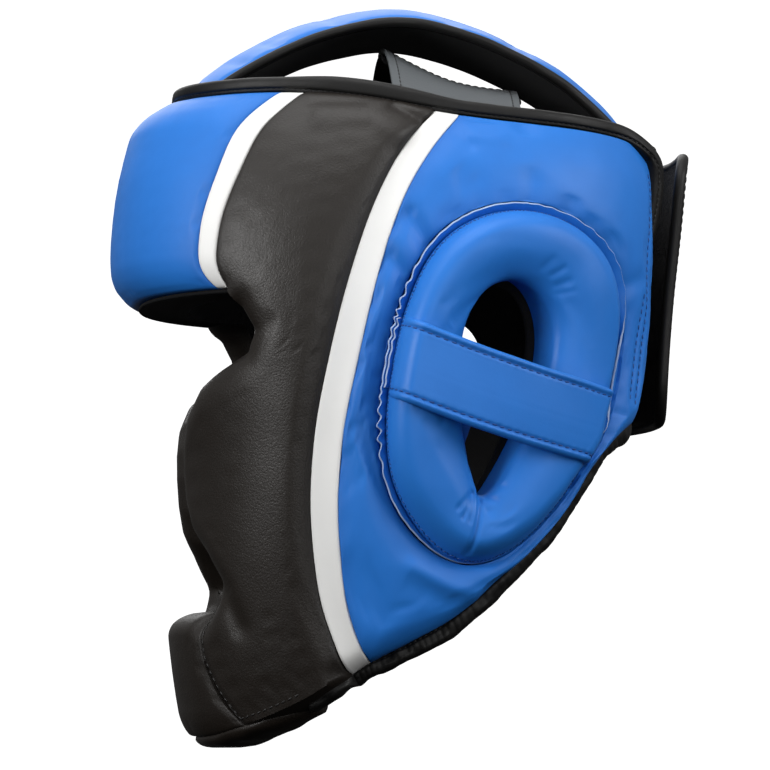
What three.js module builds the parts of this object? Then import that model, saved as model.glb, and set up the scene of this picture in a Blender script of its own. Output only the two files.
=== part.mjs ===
// Padded boxing head guard, as worn and level. Millimetres, +Z up. The face looks along -Y and the
// wearer's left is +X. The origin is the crown seat: the underside of the crown strap on the centre
// plane. Every place on the guard is an angle round the head (0 at the face, 90 over the ear, 180 at
// the back) and a height, and each piece is a solid lofted through closed section loops.
import * as THREE from "three";

const degree = Math.PI / 180;

// Driving dimensions
const formCentre = 5;         // y of the upright axis that the angles turn about
const faceSquareness = 2.35;  // power of the level ovals ahead of the axis
const napeSquareness = 2.5;   // and behind it
const mapRadius = 95;         // radius that turns angles into lengths for distances on the surface
const seamGap = 0.32;         // degrees that each pad stops short of a seam
const clearance = 0.45;       // gap between pieces that lie on each other
const earGap = 1;             // gap round the ear pad
const rearLeast = 3;          // least width of the rear pad beside the ear pad
const hemHeight = -112;       // lower edge of the brow pad
const chinTop = -238.5;       // upper edge of the chin pad
const browHem = 19;           // thickness left at the edge of the brow, and so on below
const cheekLip = 5;
const chinLip = 10;
const jawLip = 17;
const lowerLip = 9;
const backLip = 12;
const earLip = 5;
const seamDip = 2;            // depth of the valley along a stripe
const chinSeamDip = 4;        // and along the chin seams
const edgeBlend = 3;          // power that joins the roundings of two edges
const liningWall = 1.5;
const rimEdge = { thin: 6.5, thick: 12.5, from: 100, to: 150, end: 158 };   // padding under the rim
const seamEnds = { foot: -262.5, top: -42 };   // heights near the ends of the side stripe
const browEnd = 45;                            // angles where brow lining, jaw and lower edge end
const jawEnd = 70;
const lowerEnd = { bend: 143.5, pad: 154, binding: 152 };
const gusset = { end: 60, fade: 4, joint: 0.5 };
const rimProud = 0.8;                          // how far the rim binding stands out past the padding
const rimRoll = { across: 4, up: 3.2 };        // half sizes of the binding rolls
const lowerRoll = { across: 4.6, up: 4.4 };
const gussetRoll = { across: 9.5, up: 3.4 };
const crownRoll = 2.6;

// Level sections, from the jaw up: reach to face and back on the centre plane and half width, outside
// (front, back, side) and against the head (inFront, inBack, inSide)
const levels = [
  { z: -305, front: -78, back: 80, side: 68, inFront: -53, inBack: 70, inSide: 51 },
  { z: -284, front: -84, back: 85, side: 74, inFront: -56, inBack: 74, inSide: 55 },
  { z: -244, front: -89.3, back: 95, side: 84, inFront: -60, inBack: 82, inSide: 64 },
  { z: -204, front: -89.5, back: 102, side: 92, inFront: -61, inBack: 89, inSide: 72 },
  { z: -181, front: -90, back: 106, side: 95, inFront: -62, inBack: 93, inSide: 75 },
  { z: -150, front: -95, back: 110, side: 97, inFront: -70, inBack: 96, inSide: 77 },
  { z: -124, front: -106, back: 112, side: 97, inFront: -80, inBack: 97.5, inSide: 78 },
  { z: -94, front: -113.3, back: 113.5, side: 95, inFront: -86, inBack: 98.5, inSide: 78 },
  { z: -69, front: -111.5, back: 114, side: 90, inFront: -86, inBack: 98, inSide: 76 },
  { z: -44, front: -105, back: 110, side: 80, inFront: -85, inBack: 95.5, inSide: 69 },
  { z: -34, front: -98, back: 105, side: 74, inFront: -83, inBack: 93, inSide: 65 },
  { z: -24, front: -87, back: 99, side: 66, inFront: -80, inBack: 90, inSide: 59 },
  { z: -10, front: -70, back: 85, side: 52, inFront: -64, inBack: 78, inSide: 46 },
];

// Height of the top rim round the head
const rimRows = [
  { angle: 0, z: -25.5 },
  { angle: 20, z: -27 },
  { angle: 48, z: -28 },
  { angle: 75, z: -31.4 },
  { angle: 97, z: -37 },
  { angle: 117, z: -40.5 },
  { angle: 141, z: -43.2 },
  { angle: 163, z: -47 },
];

// Height of the lower edge, from the chin round to the back corner
const lowerRows = [
  { angle: 0, z: -289 },
  { angle: 20, z: -288.5 },
  { angle: 39, z: -284 },
  { angle: 59, z: -273.5 },
  { angle: 73, z: -261 },
  { angle: 88, z: -251.5 },
  { angle: 100, z: -242.5 },
  { angle: 111, z: -229.5 },
  { angle: 121, z: -214.5 },
  { angle: 131, z: -195 },
  { angle: 137, z: -180.5 },
  { angle: 144, z: -168.5 },
  { angle: 154, z: -160 },
];

// Angle of the rear pad's back edge at each height
const backRows = [
  { z: -160, angle: 149.5 },
  { z: -143, angle: 153.5 },
  { z: -116, angle: 156 },
  { z: -91, angle: 156 },
  { z: -45, angle: 158 },
];

// Middle of each stripe and its half width in degrees
const browSeam = [
  { z: -112, angle: 44.3, half: 1.5 },
  { z: -107.5, angle: 42.8, half: 1.9 },
  { z: -101, angle: 41.9, half: 2.05 },
  { z: -88, angle: 42.2, half: 2.2 },
  { z: -63, angle: 44.9, half: 2.6 },
  { z: -50, angle: 46.3, half: 2.95 },
  { z: -36, angle: 50.6, half: 3.35 },
  { z: -28, angle: 54.3, half: 3.5 },
];
const sideSeam = [
  { z: -264, angle: 73.7, half: 3.6 },
  { z: -246, angle: 69.2, half: 3.15 },
  { z: -233, angle: 67.4, half: 3.25 },
  { z: -202, angle: 66.6, half: 3.3 },
  { z: -177, angle: 67.8, half: 3.3 },
  { z: -140, angle: 72.1, half: 3.35 },
  { z: -102.5, angle: 77.5, half: 3.2 },
  { z: -77, angle: 82.6, half: 3.3 },
  { z: -64, angle: 86.7, half: 3.7 },
  { z: -51, angle: 92.4, half: 4.1 },
  { z: -36, angle: 103.7, half: 4.1 },
];

// Seam between chin and cheek pad
const chinSeam = [
  { z: -284, angle: 39 },
  { z: -269, angle: 31.5 },
  { z: -253, angle: 27.8 },
  { z: -238.5, angle: 28 },
];

// Front edge of the cheek pad from the chin seam up to the brow, each row with the height where the
// section across the pad ends on the side seam
const cheekRows = [
  { angle: 39, z: -284, rearZ: -261 },
  { angle: 34, z: -275, rearZ: -253 },
  { angle: 29.5, z: -262, rearZ: -244 },
  { angle: 27.6, z: -249, rearZ: -235 },
  { angle: 28.2, z: -239.5, rearZ: -227 },
  { angle: 34.5, z: -233.5, rearZ: -220.5 },
  { angle: 37.5, z: -228, rearZ: -214 },
  { angle: 34, z: -218.5, rearZ: -207 },
  { angle: 26, z: -209.5, rearZ: -200 },
  { angle: 19, z: -196, rearZ: -190 },
  { angle: 16.5, z: -181, rearZ: -178.5 },
  { angle: 18.5, z: -168, rearZ: -167 },
  { angle: 23, z: -157, rearZ: -156.5 },
  { angle: 30, z: -148, rearZ: -147 },
  { angle: 38.5, z: -142.5, rearZ: -138.5 },
  { angle: 44.5, z: -137.5, rearZ: -131 },
  { angle: 47, z: -129, rearZ: -122 },
  { angle: 46.7, z: -119.5, rearZ: -112.5 },
];
const browRowHeights = [-111, -102, -88, -74, -60, -46];   // sections above, along the brow stripe
const chinRows = 5;                                        // rows that run along the chin seam
const temple = { z: -111, rearZ: -104 };                   // lowest section along the brow stripe
const stripeTop = { front: -31.6, rear: -41.8 };           // and the topmost, under the rim

// Ear pad: middle, lean of its long axis to the back, and reach in millimetres by direction from the
// top of that axis, turning backwards
const ear = { angle: 110, z: -150, lean: 9, crest: 11, seam: -8, mouth: -5, skew: 0.85, fullness: 2.5 };
const earRows = [
  { direction: 0, reach: 74 },
  { direction: 30, reach: 74 },
  { direction: 60, reach: 60 },
  { direction: 90, reach: 51.5 },
  { direction: 120, reach: 48.5 },
  { direction: 150, reach: 57.5 },
  { direction: 180, reach: 73.5 },
  { direction: 210, reach: 67 },
  { direction: 240, reach: 53 },
  { direction: 270, reach: 47.5 },
  { direction: 300, reach: 52 },
  { direction: 330, reach: 65.5 },
  { direction: 360, reach: 74 },
];
const earHole = { halfHeight: 42.6, halfWidth: 15.8, taper: 0.34, shiftOut: -2, shiftUp: -2 };
const earDirections = 30;
const earStrap = { slope: -17.5, halfWidth: 15.4, offset: -7, front: -43, back: 37, wall: 2.2, lift: 1.4 };

// Crown strap along its arch: angle from upright (positive to the back), reach from the arch's middle,
// thickness at the middle line and fall of the upper face at the edges
const crownArch = { y: 1, z: -110, edgeShare: 0.36, backCut: 0.0021 };
const crownRows = [
  { turn: -42.6, reach: 122, thick: 10, half: 29 },
  { turn: -30, reach: 122, thick: 11.5, half: 30 },
  { turn: 0, reach: 122, thick: 11.6, half: 30 },
  { turn: 25, reach: 120.8, thick: 11.6, half: 30 },
  { turn: 45, reach: 121, thick: 10.5, half: 29 },
  { turn: 62, reach: 119.8, thick: 6.2, half: 28 },
  { turn: 71, reach: 113.4, thick: 5.6, half: 27 },
];

// Cross straps under the crown strap: height on the centre plane and at the rim, front to back
const crossRows = [
  { y: -2, middle: -5.4, root: -44 },
  { y: 14, middle: -12, root: -45.5 },
  { y: 27, middle: -17, root: -47 },
  { y: 41, middle: -20.5, root: -48.5 },
  { y: 55, middle: -22.5, root: -50 },
];
const crossStrap = { wall: 2, inset: 3.4, rimHalf: 70, leftEnd: -8, rightEnd: 22, drop: 2.9 };

// Closing flap at the back: outer face on the centre plane at each height
const flapRows = [
  { z: -162, face: 114.6 },
  { z: -140, face: 115.8 },
  { z: -113, face: 118 },
  { z: -80, face: 122 },
  { z: -50, face: 125.4 },
];
const flap = { wall: 4, free: 164, bend: 185, sewn: 214, corner: 12, lift: 0.45 };
const loopPanel = { wall: 2.8, top: -57, bottom: -155 };

// Smooth curve through points, with no overshoot between them
function smoothCurve(xs, ys) {
  const last = xs.length - 1;
  const step = xs.slice(1).map((x, i) => x - xs[i]);
  const rise = step.map((h, i) => (ys[i + 1] - ys[i]) / h);
  const slope = xs.map((x, i) => {
    if (i === 0) return rise[0];
    if (i === last) return rise[last - 1];
    if (rise[i - 1] * rise[i] <= 0) return 0;
    const before = 2 * step[i] + step[i - 1];
    const after = step[i] + 2 * step[i - 1];
    return (before + after) / (before / rise[i - 1] + after / rise[i]);
  });
  return (x) => {
    let i = 0;
    while (i < last - 1 && x > xs[i + 1]) i += 1;
    const t = THREE.MathUtils.clamp((x - xs[i]) / step[i], 0, 1);
    const start = ys[i] * (1 + 2 * t) * (1 - t) ** 2 + slope[i] * step[i] * t * (1 - t) ** 2;
    const end = ys[i + 1] * (3 - 2 * t) * t ** 2 - slope[i + 1] * step[i] * (1 - t) * t ** 2;
    return start + end;
  };
}

function tableCurve(rows, from, to) {
  return smoothCurve(rows.map((row) => row[from]), rows.map((row) => row[to]));
}
const level = {};
for (const column of ["front", "back", "side", "inFront", "inBack", "inSide"]) {
  level[column] = tableCurve(levels, "z", column);
}
const rimCurve = tableCurve(rimRows, "angle", "z");
const lowerCurve = tableCurve(lowerRows, "angle", "z");
const rimHeight = (angle) => rimCurve(Math.abs(angle));
const lowerHeight = (angle) => lowerCurve(Math.abs(angle));
const backAngle = tableCurve(backRows, "z", "angle");
const browSeamAngle = tableCurve(browSeam, "z", "angle");
const browSeamHalf = tableCurve(browSeam, "z", "half");
const sideSeamAngle = tableCurve(sideSeam, "z", "angle");
const sideSeamHalf = tableCurve(sideSeam, "z", "half");
const chinSeamAngle = tableCurve(chinSeam, "z", "angle");
const earReach = tableCurve(earRows, "direction", "reach");
function rimLip(angle) {
  const share = THREE.MathUtils.smoothstep(Math.abs(angle), rimEdge.from, rimEdge.to);
  return THREE.MathUtils.lerp(rimEdge.thin, rimEdge.thick, share);
}
const padTop = (angle) => rimHeight(angle) - rimRoll.up - clearance;

// Radius of a level oval at an angle
function ovalRadius(angle, front, back, side) {
  const along = Math.cos(angle * degree);
  const reach = along > 0 ? formCentre - front : back - formCentre;
  const power = along > 0 ? faceSquareness : napeSquareness;
  const across = Math.abs(Math.sin(angle * degree));
  return ((Math.abs(along) / reach) ** power + (across / side) ** power) ** (-1 / power);
}

const outerRadius = (angle, z) => ovalRadius(angle, level.front(z), level.back(z), level.side(z));
const headRadius = (angle, z) => ovalRadius(angle, level.inFront(z), level.inBack(z), level.inSide(z));

function place(angle, z, radius) {
  const x = radius * Math.sin(angle * degree);
  return new THREE.Vector3(x, formCentre - radius * Math.cos(angle * degree), z);
}

// Map of one half of the guard laid flat: arc length from the face, and height
const mapPoint = (angle, z) => new THREE.Vector2(Math.abs(angle) * degree * mapRadius, z);

function mapDistance(line, spot) {
  let nearest = Infinity;
  for (let i = 0; i < line.length - 1; i += 1) {
    const along = line[i + 1].clone().sub(line[i]);
    const share = spot.clone().sub(line[i]).dot(along) / along.lengthSq();
    const foot = along.multiplyScalar(THREE.MathUtils.clamp(share, 0, 1)).add(line[i]);
    nearest = Math.min(nearest, foot.distanceTo(spot));
  }
  return nearest;
}

const range = (count) => Array.from({ length: count }, (_, i) => i);
const spread = (from, to, count) => range(count).map((i) => from + ((to - from) * i) / (count - 1));
const eased = (count) => spread(0, 1, count).map((t) => 0.5 - 0.5 * Math.cos(Math.PI * t));

// Ear pad outlines on the map, by direction from the top of the ear's axis
function earPoint(direction, reach) {
  const turn = (direction + ear.lean) * degree;
  const angle = ear.angle + (reach * Math.sin(turn)) / (mapRadius * degree);
  return { angle, z: ear.z + reach * Math.cos(turn) };
}

// Distance from the ear's middle to a line on the map, in one direction
function reachTo(line, direction) {
  const turn = (direction + ear.lean) * degree;
  const ray = new THREE.Vector2(Math.sin(turn), Math.cos(turn));
  const middle = mapPoint(ear.angle, ear.z);
  let reach = 0;
  for (let i = 0; i < line.length - 1; i += 1) {
    const from = line[i].clone().sub(middle);
    const along = line[i + 1].clone().sub(line[i]);
    const turnRate = ray.cross(along);
    const share = ray.cross(from) / -turnRate;
    const length = from.cross(along) / turnRate;
    if (share >= 0 && share <= 1 && length > reach) reach = length;
  }
  return reach;
}

const holeLine = spread(0, 360, 73).map((turn) => {
  const width = earHole.halfWidth * (1 + earHole.taper * Math.cos(turn * degree));
  const up = earHole.shiftUp + earHole.halfHeight * Math.cos(turn * degree);
  const out = earHole.shiftOut + width * Math.sin(turn * degree);
  const spot = earPoint((Math.atan2(out, up) / degree + 360) % 360, Math.hypot(out, up));
  return mapPoint(spot.angle, spot.z);
});
const earLine = spread(0, 360, 61).map((direction) => {
  const spot = earPoint(direction, earReach(direction));
  return mapPoint(spot.angle, spot.z);
});

// Edges of the rear pad on the map, each from the front or the top
const rearEdge = (z) => sideSeamAngle(z) + sideSeamHalf(z) + seamGap;
const meeting = (start, edge, height) => range(8).reduce((z) => height(edge(z)), start);
const rearFootZ = meeting(seamEnds.foot, rearEdge, lowerHeight);
const rearTopZ = meeting(seamEnds.top, rearEdge, padTop);
const backTopZ = meeting(seamEnds.top, backAngle, padTop);
const backFootZ = meeting(loopPanel.bottom, backAngle, lowerHeight);
const along = (height, from, to, count) => spread(from, to, count).map((a) => mapPoint(a, height(a)));
const upright = (angle, from, to, count) => spread(from, to, count).map((z) => mapPoint(angle(z), z));
const rearFront = upright(rearEdge, rearFootZ, rearTopZ, 25);
const rearTop = along(padTop, rearEdge(rearTopZ), backAngle(backTopZ), 13);
const rearBack = upright(backAngle, backTopZ, backFootZ, 9);
const rearLow = along(lowerHeight, rearEdge(rearFootZ), backAngle(backFootZ), 25);
const rearBorder = [...rearFront, ...rearTop, ...rearBack, ...rearLow.reverse(), rearFront[0]];

// Roundings of the padding: the line that each follows, what is left there and how far it reaches
const cheekLine = cheekRows.slice(chinRows - 1).map((row) => mapPoint(row.angle, row.z));
const chinCorner = chinSeam.at(-1);
const padEdges = [
  { line: along(padTop, 0, rimEdge.end, 24), lip: rimLip, round: 20 },
  { line: along(() => hemHeight, 0, browEnd, 2), lip: () => browHem, round: 14 },
  { line: cheekLine, lip: () => cheekLip, round: 20 },
  { line: along(() => chinTop, 0, chinCorner.angle, 2), lip: () => chinLip, round: 14 },
  { line: along(lowerHeight, 0, jawEnd, 18), lip: () => jawLip, round: 12 },
  { line: along(lowerHeight, jawEnd, lowerEnd.pad, 25), lip: () => lowerLip, round: 16 },
  { line: rearBack, lip: () => backLip, round: 8 },
  { line: earLine, lip: () => earLip, round: 15 },
  { line: upright(sideSeamAngle, seamEnds.foot, seamEnds.top, 25), dip: seamDip, round: 14 },
  { line: upright(chinSeamAngle, chinSeam[0].z, chinCorner.z, 8), dip: chinSeamDip, round: 9 },
];

// Thickness of the padding, rounded off at its edges
function padDepth(angle, z) {
  const full = outerRadius(angle, z) - headRadius(angle, z);
  const spot = mapPoint(angle, z);
  let loss = 0;
  for (const { line, lip, dip, round: reach } of padEdges) {
    const near = Math.min(mapDistance(line, spot) / reach, 1);
    const most = dip === undefined ? 1 - lip(angle) / full : dip / full;
    loss += (Math.max(most, 0) * (1 - Math.sqrt(near * (2 - near)))) ** edgeBlend;
  }
  return full * (1 - loss ** (1 / edgeBlend));
}

// Closed solid through section loops with the same number of points, with ends or as a ring
function loft(sections, ring) {
  const count = sections[0].length;
  const positions = sections.flat().flatMap((point) => point.toArray());
  const faces = [];
  const quad = (a, b, c, d) => faces.push(a, b, c, a, c, d);
  const spans = ring ? sections.length : sections.length - 1;
  for (const i of range(spans)) {
    const here = i * count;
    const there = ((i + 1) % sections.length) * count;
    for (const k of range(count)) {
      const next = (k + 1) % count;
      quad(here + k, here + next, there + next, there + k);
    }
  }
  const lastLoop = (sections.length - 1) * count;
  for (const k of ring ? [] : range(count / 2 - 1)) {
    const far = count - 1 - k;
    quad(k, far, far - 1, k + 1);
    quad(lastLoop + k, lastLoop + k + 1, lastLoop + far - 1, lastLoop + far);
  }
  const corner = (i) => new THREE.Vector3().fromArray(positions, 3 * faces[i]);
  let volume = 0;
  for (let i = 0; i < faces.length; i += 3) {
    volume += corner(i).dot(corner(i + 1).cross(corner(i + 2)));
  }
  const geometry = new THREE.BufferGeometry();
  geometry.setAttribute("position", new THREE.Float32BufferAttribute(positions, 3));
  geometry.setIndex(volume > 0 ? faces : faces.reverse());
  geometry.computeVertexNormals();
  return geometry;
}

const finishes = {
  blue: { color: 0x1f6fd1, roughness: 0.42, metalness: 0 },
  black: { color: 0x1c1b1b, roughness: 0.5, metalness: 0 },
  white: { color: 0xf1f1ef, roughness: 0.45, metalness: 0 },
  binding: { color: 0x161617, roughness: 0.7, metalness: 0 },
  lining: { color: 0x1a1a1b, roughness: 0.9, metalness: 0 },
  loop: { color: 0x141415, roughness: 0.95, metalness: 0 },
  hook: { color: 0x41464c, roughness: 0.8, metalness: 0 },
};

const headGuard = new THREE.Group();

function addPiece(name, finish, sections, ring = false) {
  const material = new THREE.MeshStandardMaterial(finishes[finish]);
  const mesh = new THREE.Mesh(loft(sections, ring), material);
  mesh.name = name;
  headGuard.add(mesh);
}

// The same piece on the wearer's left and, mirrored, on the right
function addPair(name, finish, sections, ring = false) {
  const mirrored = (point) => new THREE.Vector3(-point.x, point.y, point.z);
  addPiece(`${name}_left`, finish, sections, ring);
  addPiece(`${name}_right`, finish, sections.map((loop) => loop.map(mirrored)), ring);
}

// Loop over the outside of the padding through some spots and back along the head
function padLoop(spots) {
  const outside = spots.map(({ angle, z }) => place(angle, z, headRadius(angle, z) + padDepth(angle, z)));
  const inside = spots.map(({ angle, z }) => place(angle, z, headRadius(angle, z)));
  return [...outside, ...inside.reverse()];
}

// Flat roll along a path of angles, heights and radii
function rollLoop(angle, z, radius, across, up, sides = 8) {
  return range(sides).map((i) => {
    const turn = ((i + 0.5) * 2 * Math.PI) / sides;
    return place(angle, z + up * Math.sin(turn), radius + across * Math.cos(turn));
  });
}

// Brow pad, between the two brow stripes
const browEdge = (z) => browSeamAngle(z) - browSeamHalf(z) - seamGap;
const browShares = eased(9);
const browSpots = browShares.map((share) => {
  const edge = browEdge(THREE.MathUtils.lerp(hemHeight, stripeTop.front, share));
  return spread(-edge, edge, 17).map((angle) => {
    return { angle, z: THREE.MathUtils.lerp(hemHeight, padTop(angle), share) };
  });
});
addPiece("brow_pad", "blue", browSpots.map(padLoop));

// Lining behind the brow pad, turned out under its lower edge
const browLiningAngles = spread(-browEnd, browEnd, 15);
addPiece("brow_lining", "lining", browLiningAngles.map((angle) => {
  const heights = spread(padTop(angle), hemHeight, 5);
  const wall = (inset, low) => heights.map((z, i) => {
    const height = i === heights.length - 1 ? low : z;
    return place(angle, height, headRadius(angle, z) - inset);
  });
  const foot = hemHeight - clearance;
  const out = headRadius(angle, hemHeight) + padDepth(angle, hemHeight) - clearance;
  const under = [place(angle, foot, out), place(angle, foot - liningWall, out)];
  const headSide = wall(clearance + liningWall, foot - liningWall);
  return [...wall(clearance, foot), ...under, ...headSide.reverse()];
}));

// Cheek pads, from the chin seam and the face edge to the side stripe
const cheekEdge = (z) => sideSeamAngle(z) - sideSeamHalf(z) - seamGap;
const stripeEdge = (z) => browSeamAngle(z) + browSeamHalf(z) + seamGap;
const alongStripe = (z) => {
  const share = (z - temple.z) / (stripeTop.front - temple.z);
  return { angle: stripeEdge(z), z, rearZ: THREE.MathUtils.lerp(temple.rearZ, stripeTop.rear, share) };
};
const cheekSections = [...cheekRows, ...[...browRowHeights, stripeTop.front].map(alongStripe)];
const cheekShares = eased(9);
const cheekSpots = cheekSections.map((row, i) => cheekShares.map((share) => {
  const front = i < chinRows ? row.angle + 2 * seamGap : row.angle;
  const angle = THREE.MathUtils.lerp(front, cheekEdge(row.rearZ), share);
  const straight = THREE.MathUtils.lerp(row.z, row.rearZ, share);
  if (i === 0) return { angle, z: lowerHeight(angle) };
  if (i === cheekSections.length - 1) return { angle, z: padTop(angle) };
  return { angle, z: straight };
}));
addPair("cheek_pad", "black", cheekSpots.map(padLoop));

// White stripes, as deep as the pads that they join, ending on a lower and an upper line
function stripeSpots(shares, angleAt, halfAt, foot, top) {
  const lines = [-1, 0, 1].map((side) => {
    const edge = (z) => angleAt(z) + side * halfAt(z);
    const low = meeting(foot.start, edge, foot.height);
    const high = meeting(top.start, edge, top.height);
    const heights = shares.map((share) => THREE.MathUtils.lerp(low, high, share));
    return heights.map((z) => ({ angle: edge(z), z }));
  });
  return shares.map((share, i) => lines.map((line) => line[i]));
}
const hem = { start: hemHeight, height: () => hemHeight };
const browTop = { start: stripeTop.front, height: padTop };
addPair("brow_stripe", "white",
  stripeSpots(browShares, browSeamAngle, browSeamHalf, hem, browTop).map(padLoop));
const sideFoot = { start: seamEnds.foot, height: lowerHeight };
const sideTop = { start: seamEnds.top, height: padTop };
addPair("side_stripe", "white",
  stripeSpots(spread(0, 1, 21), sideSeamAngle, sideSeamHalf, sideFoot, sideTop).map(padLoop));

// Rear pads: rings round the ear pad, out to the stripe, rim, back edge and lower edge
const lowerBend = mapPoint(lowerEnd.bend, lowerHeight(lowerEnd.bend));
const rearCorners = [rearFront[0], rearTop[0], rearBack[0], rearBack.at(-1), lowerBend];
const cornerDirections = rearCorners.map((corner) => {
  const offset = corner.clone().sub(mapPoint(ear.angle, ear.z));
  return (Math.atan2(offset.x, offset.y) / degree - ear.lean + 720) % 360;
});
const evenDirections = range(earDirections).map((i) => (i * 360) / earDirections);
const apart = (direction) => cornerDirections.every((corner) => Math.abs(corner - direction) > 4);
const directions = [...evenDirections.filter(apart), ...cornerDirections].sort((a, b) => a - b);
const rearShares = [0, 0.16, 0.42, 0.78, 1];
const rearSpots = directions.map((direction) => {
  const near = earReach(direction) + earGap;
  const far = Math.max(reachTo(rearBorder, direction), near + rearLeast);
  return rearShares.map((share) => earPoint(direction, THREE.MathUtils.lerp(near, far, share)));
});
addPair("rear_pad", "blue", rearSpots.map(padLoop), true);

// Lining behind rear and ear pad, open at the ear hole
addPair("rear_lining", "lining", directions.map((direction, i) => {
  const hole = earPoint(direction, reachTo(holeLine, direction));
  const seam = earPoint(direction, earReach(direction));
  const spots = [hole, seam, rearSpots[i][2], rearSpots[i][4]];
  const face = (inset) => spots.map(({ angle, z }) => place(angle, z, headRadius(angle, z) - inset));
  return [...face(clearance), ...face(clearance + liningWall).reverse()];
}), true);

// Ear pads: fat rings from the seam over a crest into the ear hole
const earShares = [0, 0.06, 0.2, 0.42, 0.66, 0.86, 0.96, 1];
const earBackShares = [0.86, 0.42, 0];
function earHeight(share) {
  const across = Math.abs(2 * share ** ear.skew - 1);
  const base = THREE.MathUtils.lerp(ear.seam, ear.mouth, share);
  return base + (ear.crest - base) * Math.sqrt(Math.max(1 - across ** ear.fullness, 0));
}
addPair("ear_pad", "blue", directions.map((direction) => {
  const far = earReach(direction);
  const near = reachTo(holeLine, direction);
  const spot = (share) => earPoint(direction, THREE.MathUtils.lerp(far, near, share));
  const outside = earShares.map((share) => {
    const { angle, z } = spot(share);
    return place(angle, z, outerRadius(angle, z) + earHeight(share));
  });
  const inside = earBackShares.map((share) => {
    const { angle, z } = spot(share);
    return place(angle, z, headRadius(angle, z));
  });
  return [...outside, ...inside];
}), true);

// Straps over the ear holes, from seam to seam and straight across between the crests
const crestShare = 0.5 ** (1 / ear.skew);
function earTop(arc, up) {
  const direction = (Math.atan2(arc, up) / degree - ear.lean + 720) % 360;
  const far = earReach(direction);
  const near = reachTo(holeLine, direction);
  const share = (far - Math.hypot(arc, up)) / (far - near);
  return earHeight(THREE.MathUtils.clamp(share, 0, crestShare));
}
const strapShares = eased(13);
addPair("ear_strap", "blue", strapShares.map((share) => {
  const middle = THREE.MathUtils.lerp(earStrap.front, earStrap.back, share);
  const slope = earStrap.slope * degree;
  const spot = (side) => {
    const out = side * earStrap.halfWidth;
    const up = earStrap.offset + middle * Math.tan(slope) + out * Math.cos(slope);
    return { arc: middle - out * Math.sin(slope), up };
  };
  const face = (lift) => spread(-1, 1, 5).map((side) => {
    const { arc, up } = spot(side);
    const angle = ear.angle + arc / (mapRadius * degree);
    return place(angle, ear.z + up, outerRadius(angle, ear.z + up) + earTop(arc, up) + lift);
  });
  return [...face(earStrap.lift + earStrap.wall), ...face(earStrap.lift).reverse()];
}));

// Chin pad, between the chin seams
const chinShares = eased(8);
addPiece("chin_pad", "black", chinShares.map((share) => {
  const edge = chinSeamAngle(THREE.MathUtils.lerp(chinSeam[0].z, chinTop, share)) - seamGap;
  return padLoop(spread(-edge, edge, 11).map((angle) => {
    return { angle, z: THREE.MathUtils.lerp(lowerHeight(angle), chinTop, share) };
  }));
}));

// Padded roll that closes chin and jaw from below, running out into the lower bindings
const gussetAngles = spread(-gusset.end, gusset.end, 21);
addPiece("chin_gusset", "black", gussetAngles.map((angle) => {
  const share = 1 - (angle / gusset.end) ** gusset.fade;
  const across = THREE.MathUtils.lerp(lowerRoll.across, gussetRoll.across, share);
  const z = lowerHeight(angle) - gussetRoll.up - clearance;
  return rollLoop(angle, z, headRadius(angle, z) + across, across, gussetRoll.up);
}));

// Bindings round the rim and along the lower edge
addPiece("rim_binding", "binding", spread(-rimEdge.end, rimEdge.end, 47).map((angle) => {
  const z = rimHeight(angle);
  const radius = headRadius(angle, z) + rimLip(angle) - rimRoll.across + rimProud;
  return rollLoop(angle, z, radius, rimRoll.across, rimRoll.up);
}));
const lowerAngles = spread(gusset.end + gusset.joint, lowerEnd.binding, 23);
addPair("lower_binding", "binding", lowerAngles.map((angle) => {
  const ahead = mapPoint(angle + 1, lowerHeight(angle + 1));
  const heading = ahead.sub(mapPoint(angle - 1, lowerHeight(angle - 1))).normalize();
  const below = (shift) => ({
    angle: angle + (heading.y * shift) / (mapRadius * degree),
    z: lowerHeight(angle) - heading.x * shift,
  });
  const core = below(lowerRoll.up + clearance);
  return range(8).map((i) => {
    const turn = ((i + 0.5) * Math.PI) / 4;
    const spot = below(lowerRoll.up + clearance - lowerRoll.up * Math.sin(turn));
    const radius = headRadius(core.angle, core.z) + lowerRoll.across * (1 + Math.cos(turn));
    return place(spot.angle, spot.z, radius);
  });
}));

// Crown strap, its lining and its edge rolls, from the brow rim over the head to the back panel
const crownReach = tableCurve(crownRows, "turn", "reach");
const crownThick = tableCurve(crownRows, "turn", "thick");
const crownHalf = tableCurve(crownRows, "turn", "half");
const crownTurns = spread(crownRows[0].turn, crownRows.at(-1).turn, 14);
function crownPoint(turn, x, reach) {
  const share = (turn - crownTurns[0]) / (crownTurns.at(-1) - crownTurns[0]);
  const swept = turn + crownArch.backCut * x * x * (1 - share);
  const y = crownArch.y + reach * Math.sin(swept * degree);
  return new THREE.Vector3(x, y, crownArch.z + reach * Math.cos(swept * degree));
}
const crownShares = spread(-1, 1, 7);
addPiece("crown_strap", "blue", crownTurns.map((turn) => {
  const under = crownReach(turn) - crownThick(turn) + liningWall + clearance;
  const crowned = crownShares.map((share) => {
    const fall = (1 - crownArch.edgeShare) * share ** 2 * crownThick(turn);
    return crownPoint(turn, share * crownHalf(turn), crownReach(turn) - fall);
  });
  const flat = crownShares.map((share) => crownPoint(turn, share * crownHalf(turn), under));
  return [...crowned, ...flat.reverse()];
}));
addPiece("crown_lining", "lining", crownTurns.map((turn) => {
  const face = (reach) => spread(-1, 1, 5).map((share) => crownPoint(turn, share * crownHalf(turn), reach));
  const base = crownReach(turn) - crownThick(turn);
  return [...face(base + liningWall), ...face(base).reverse()];
}));
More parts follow.
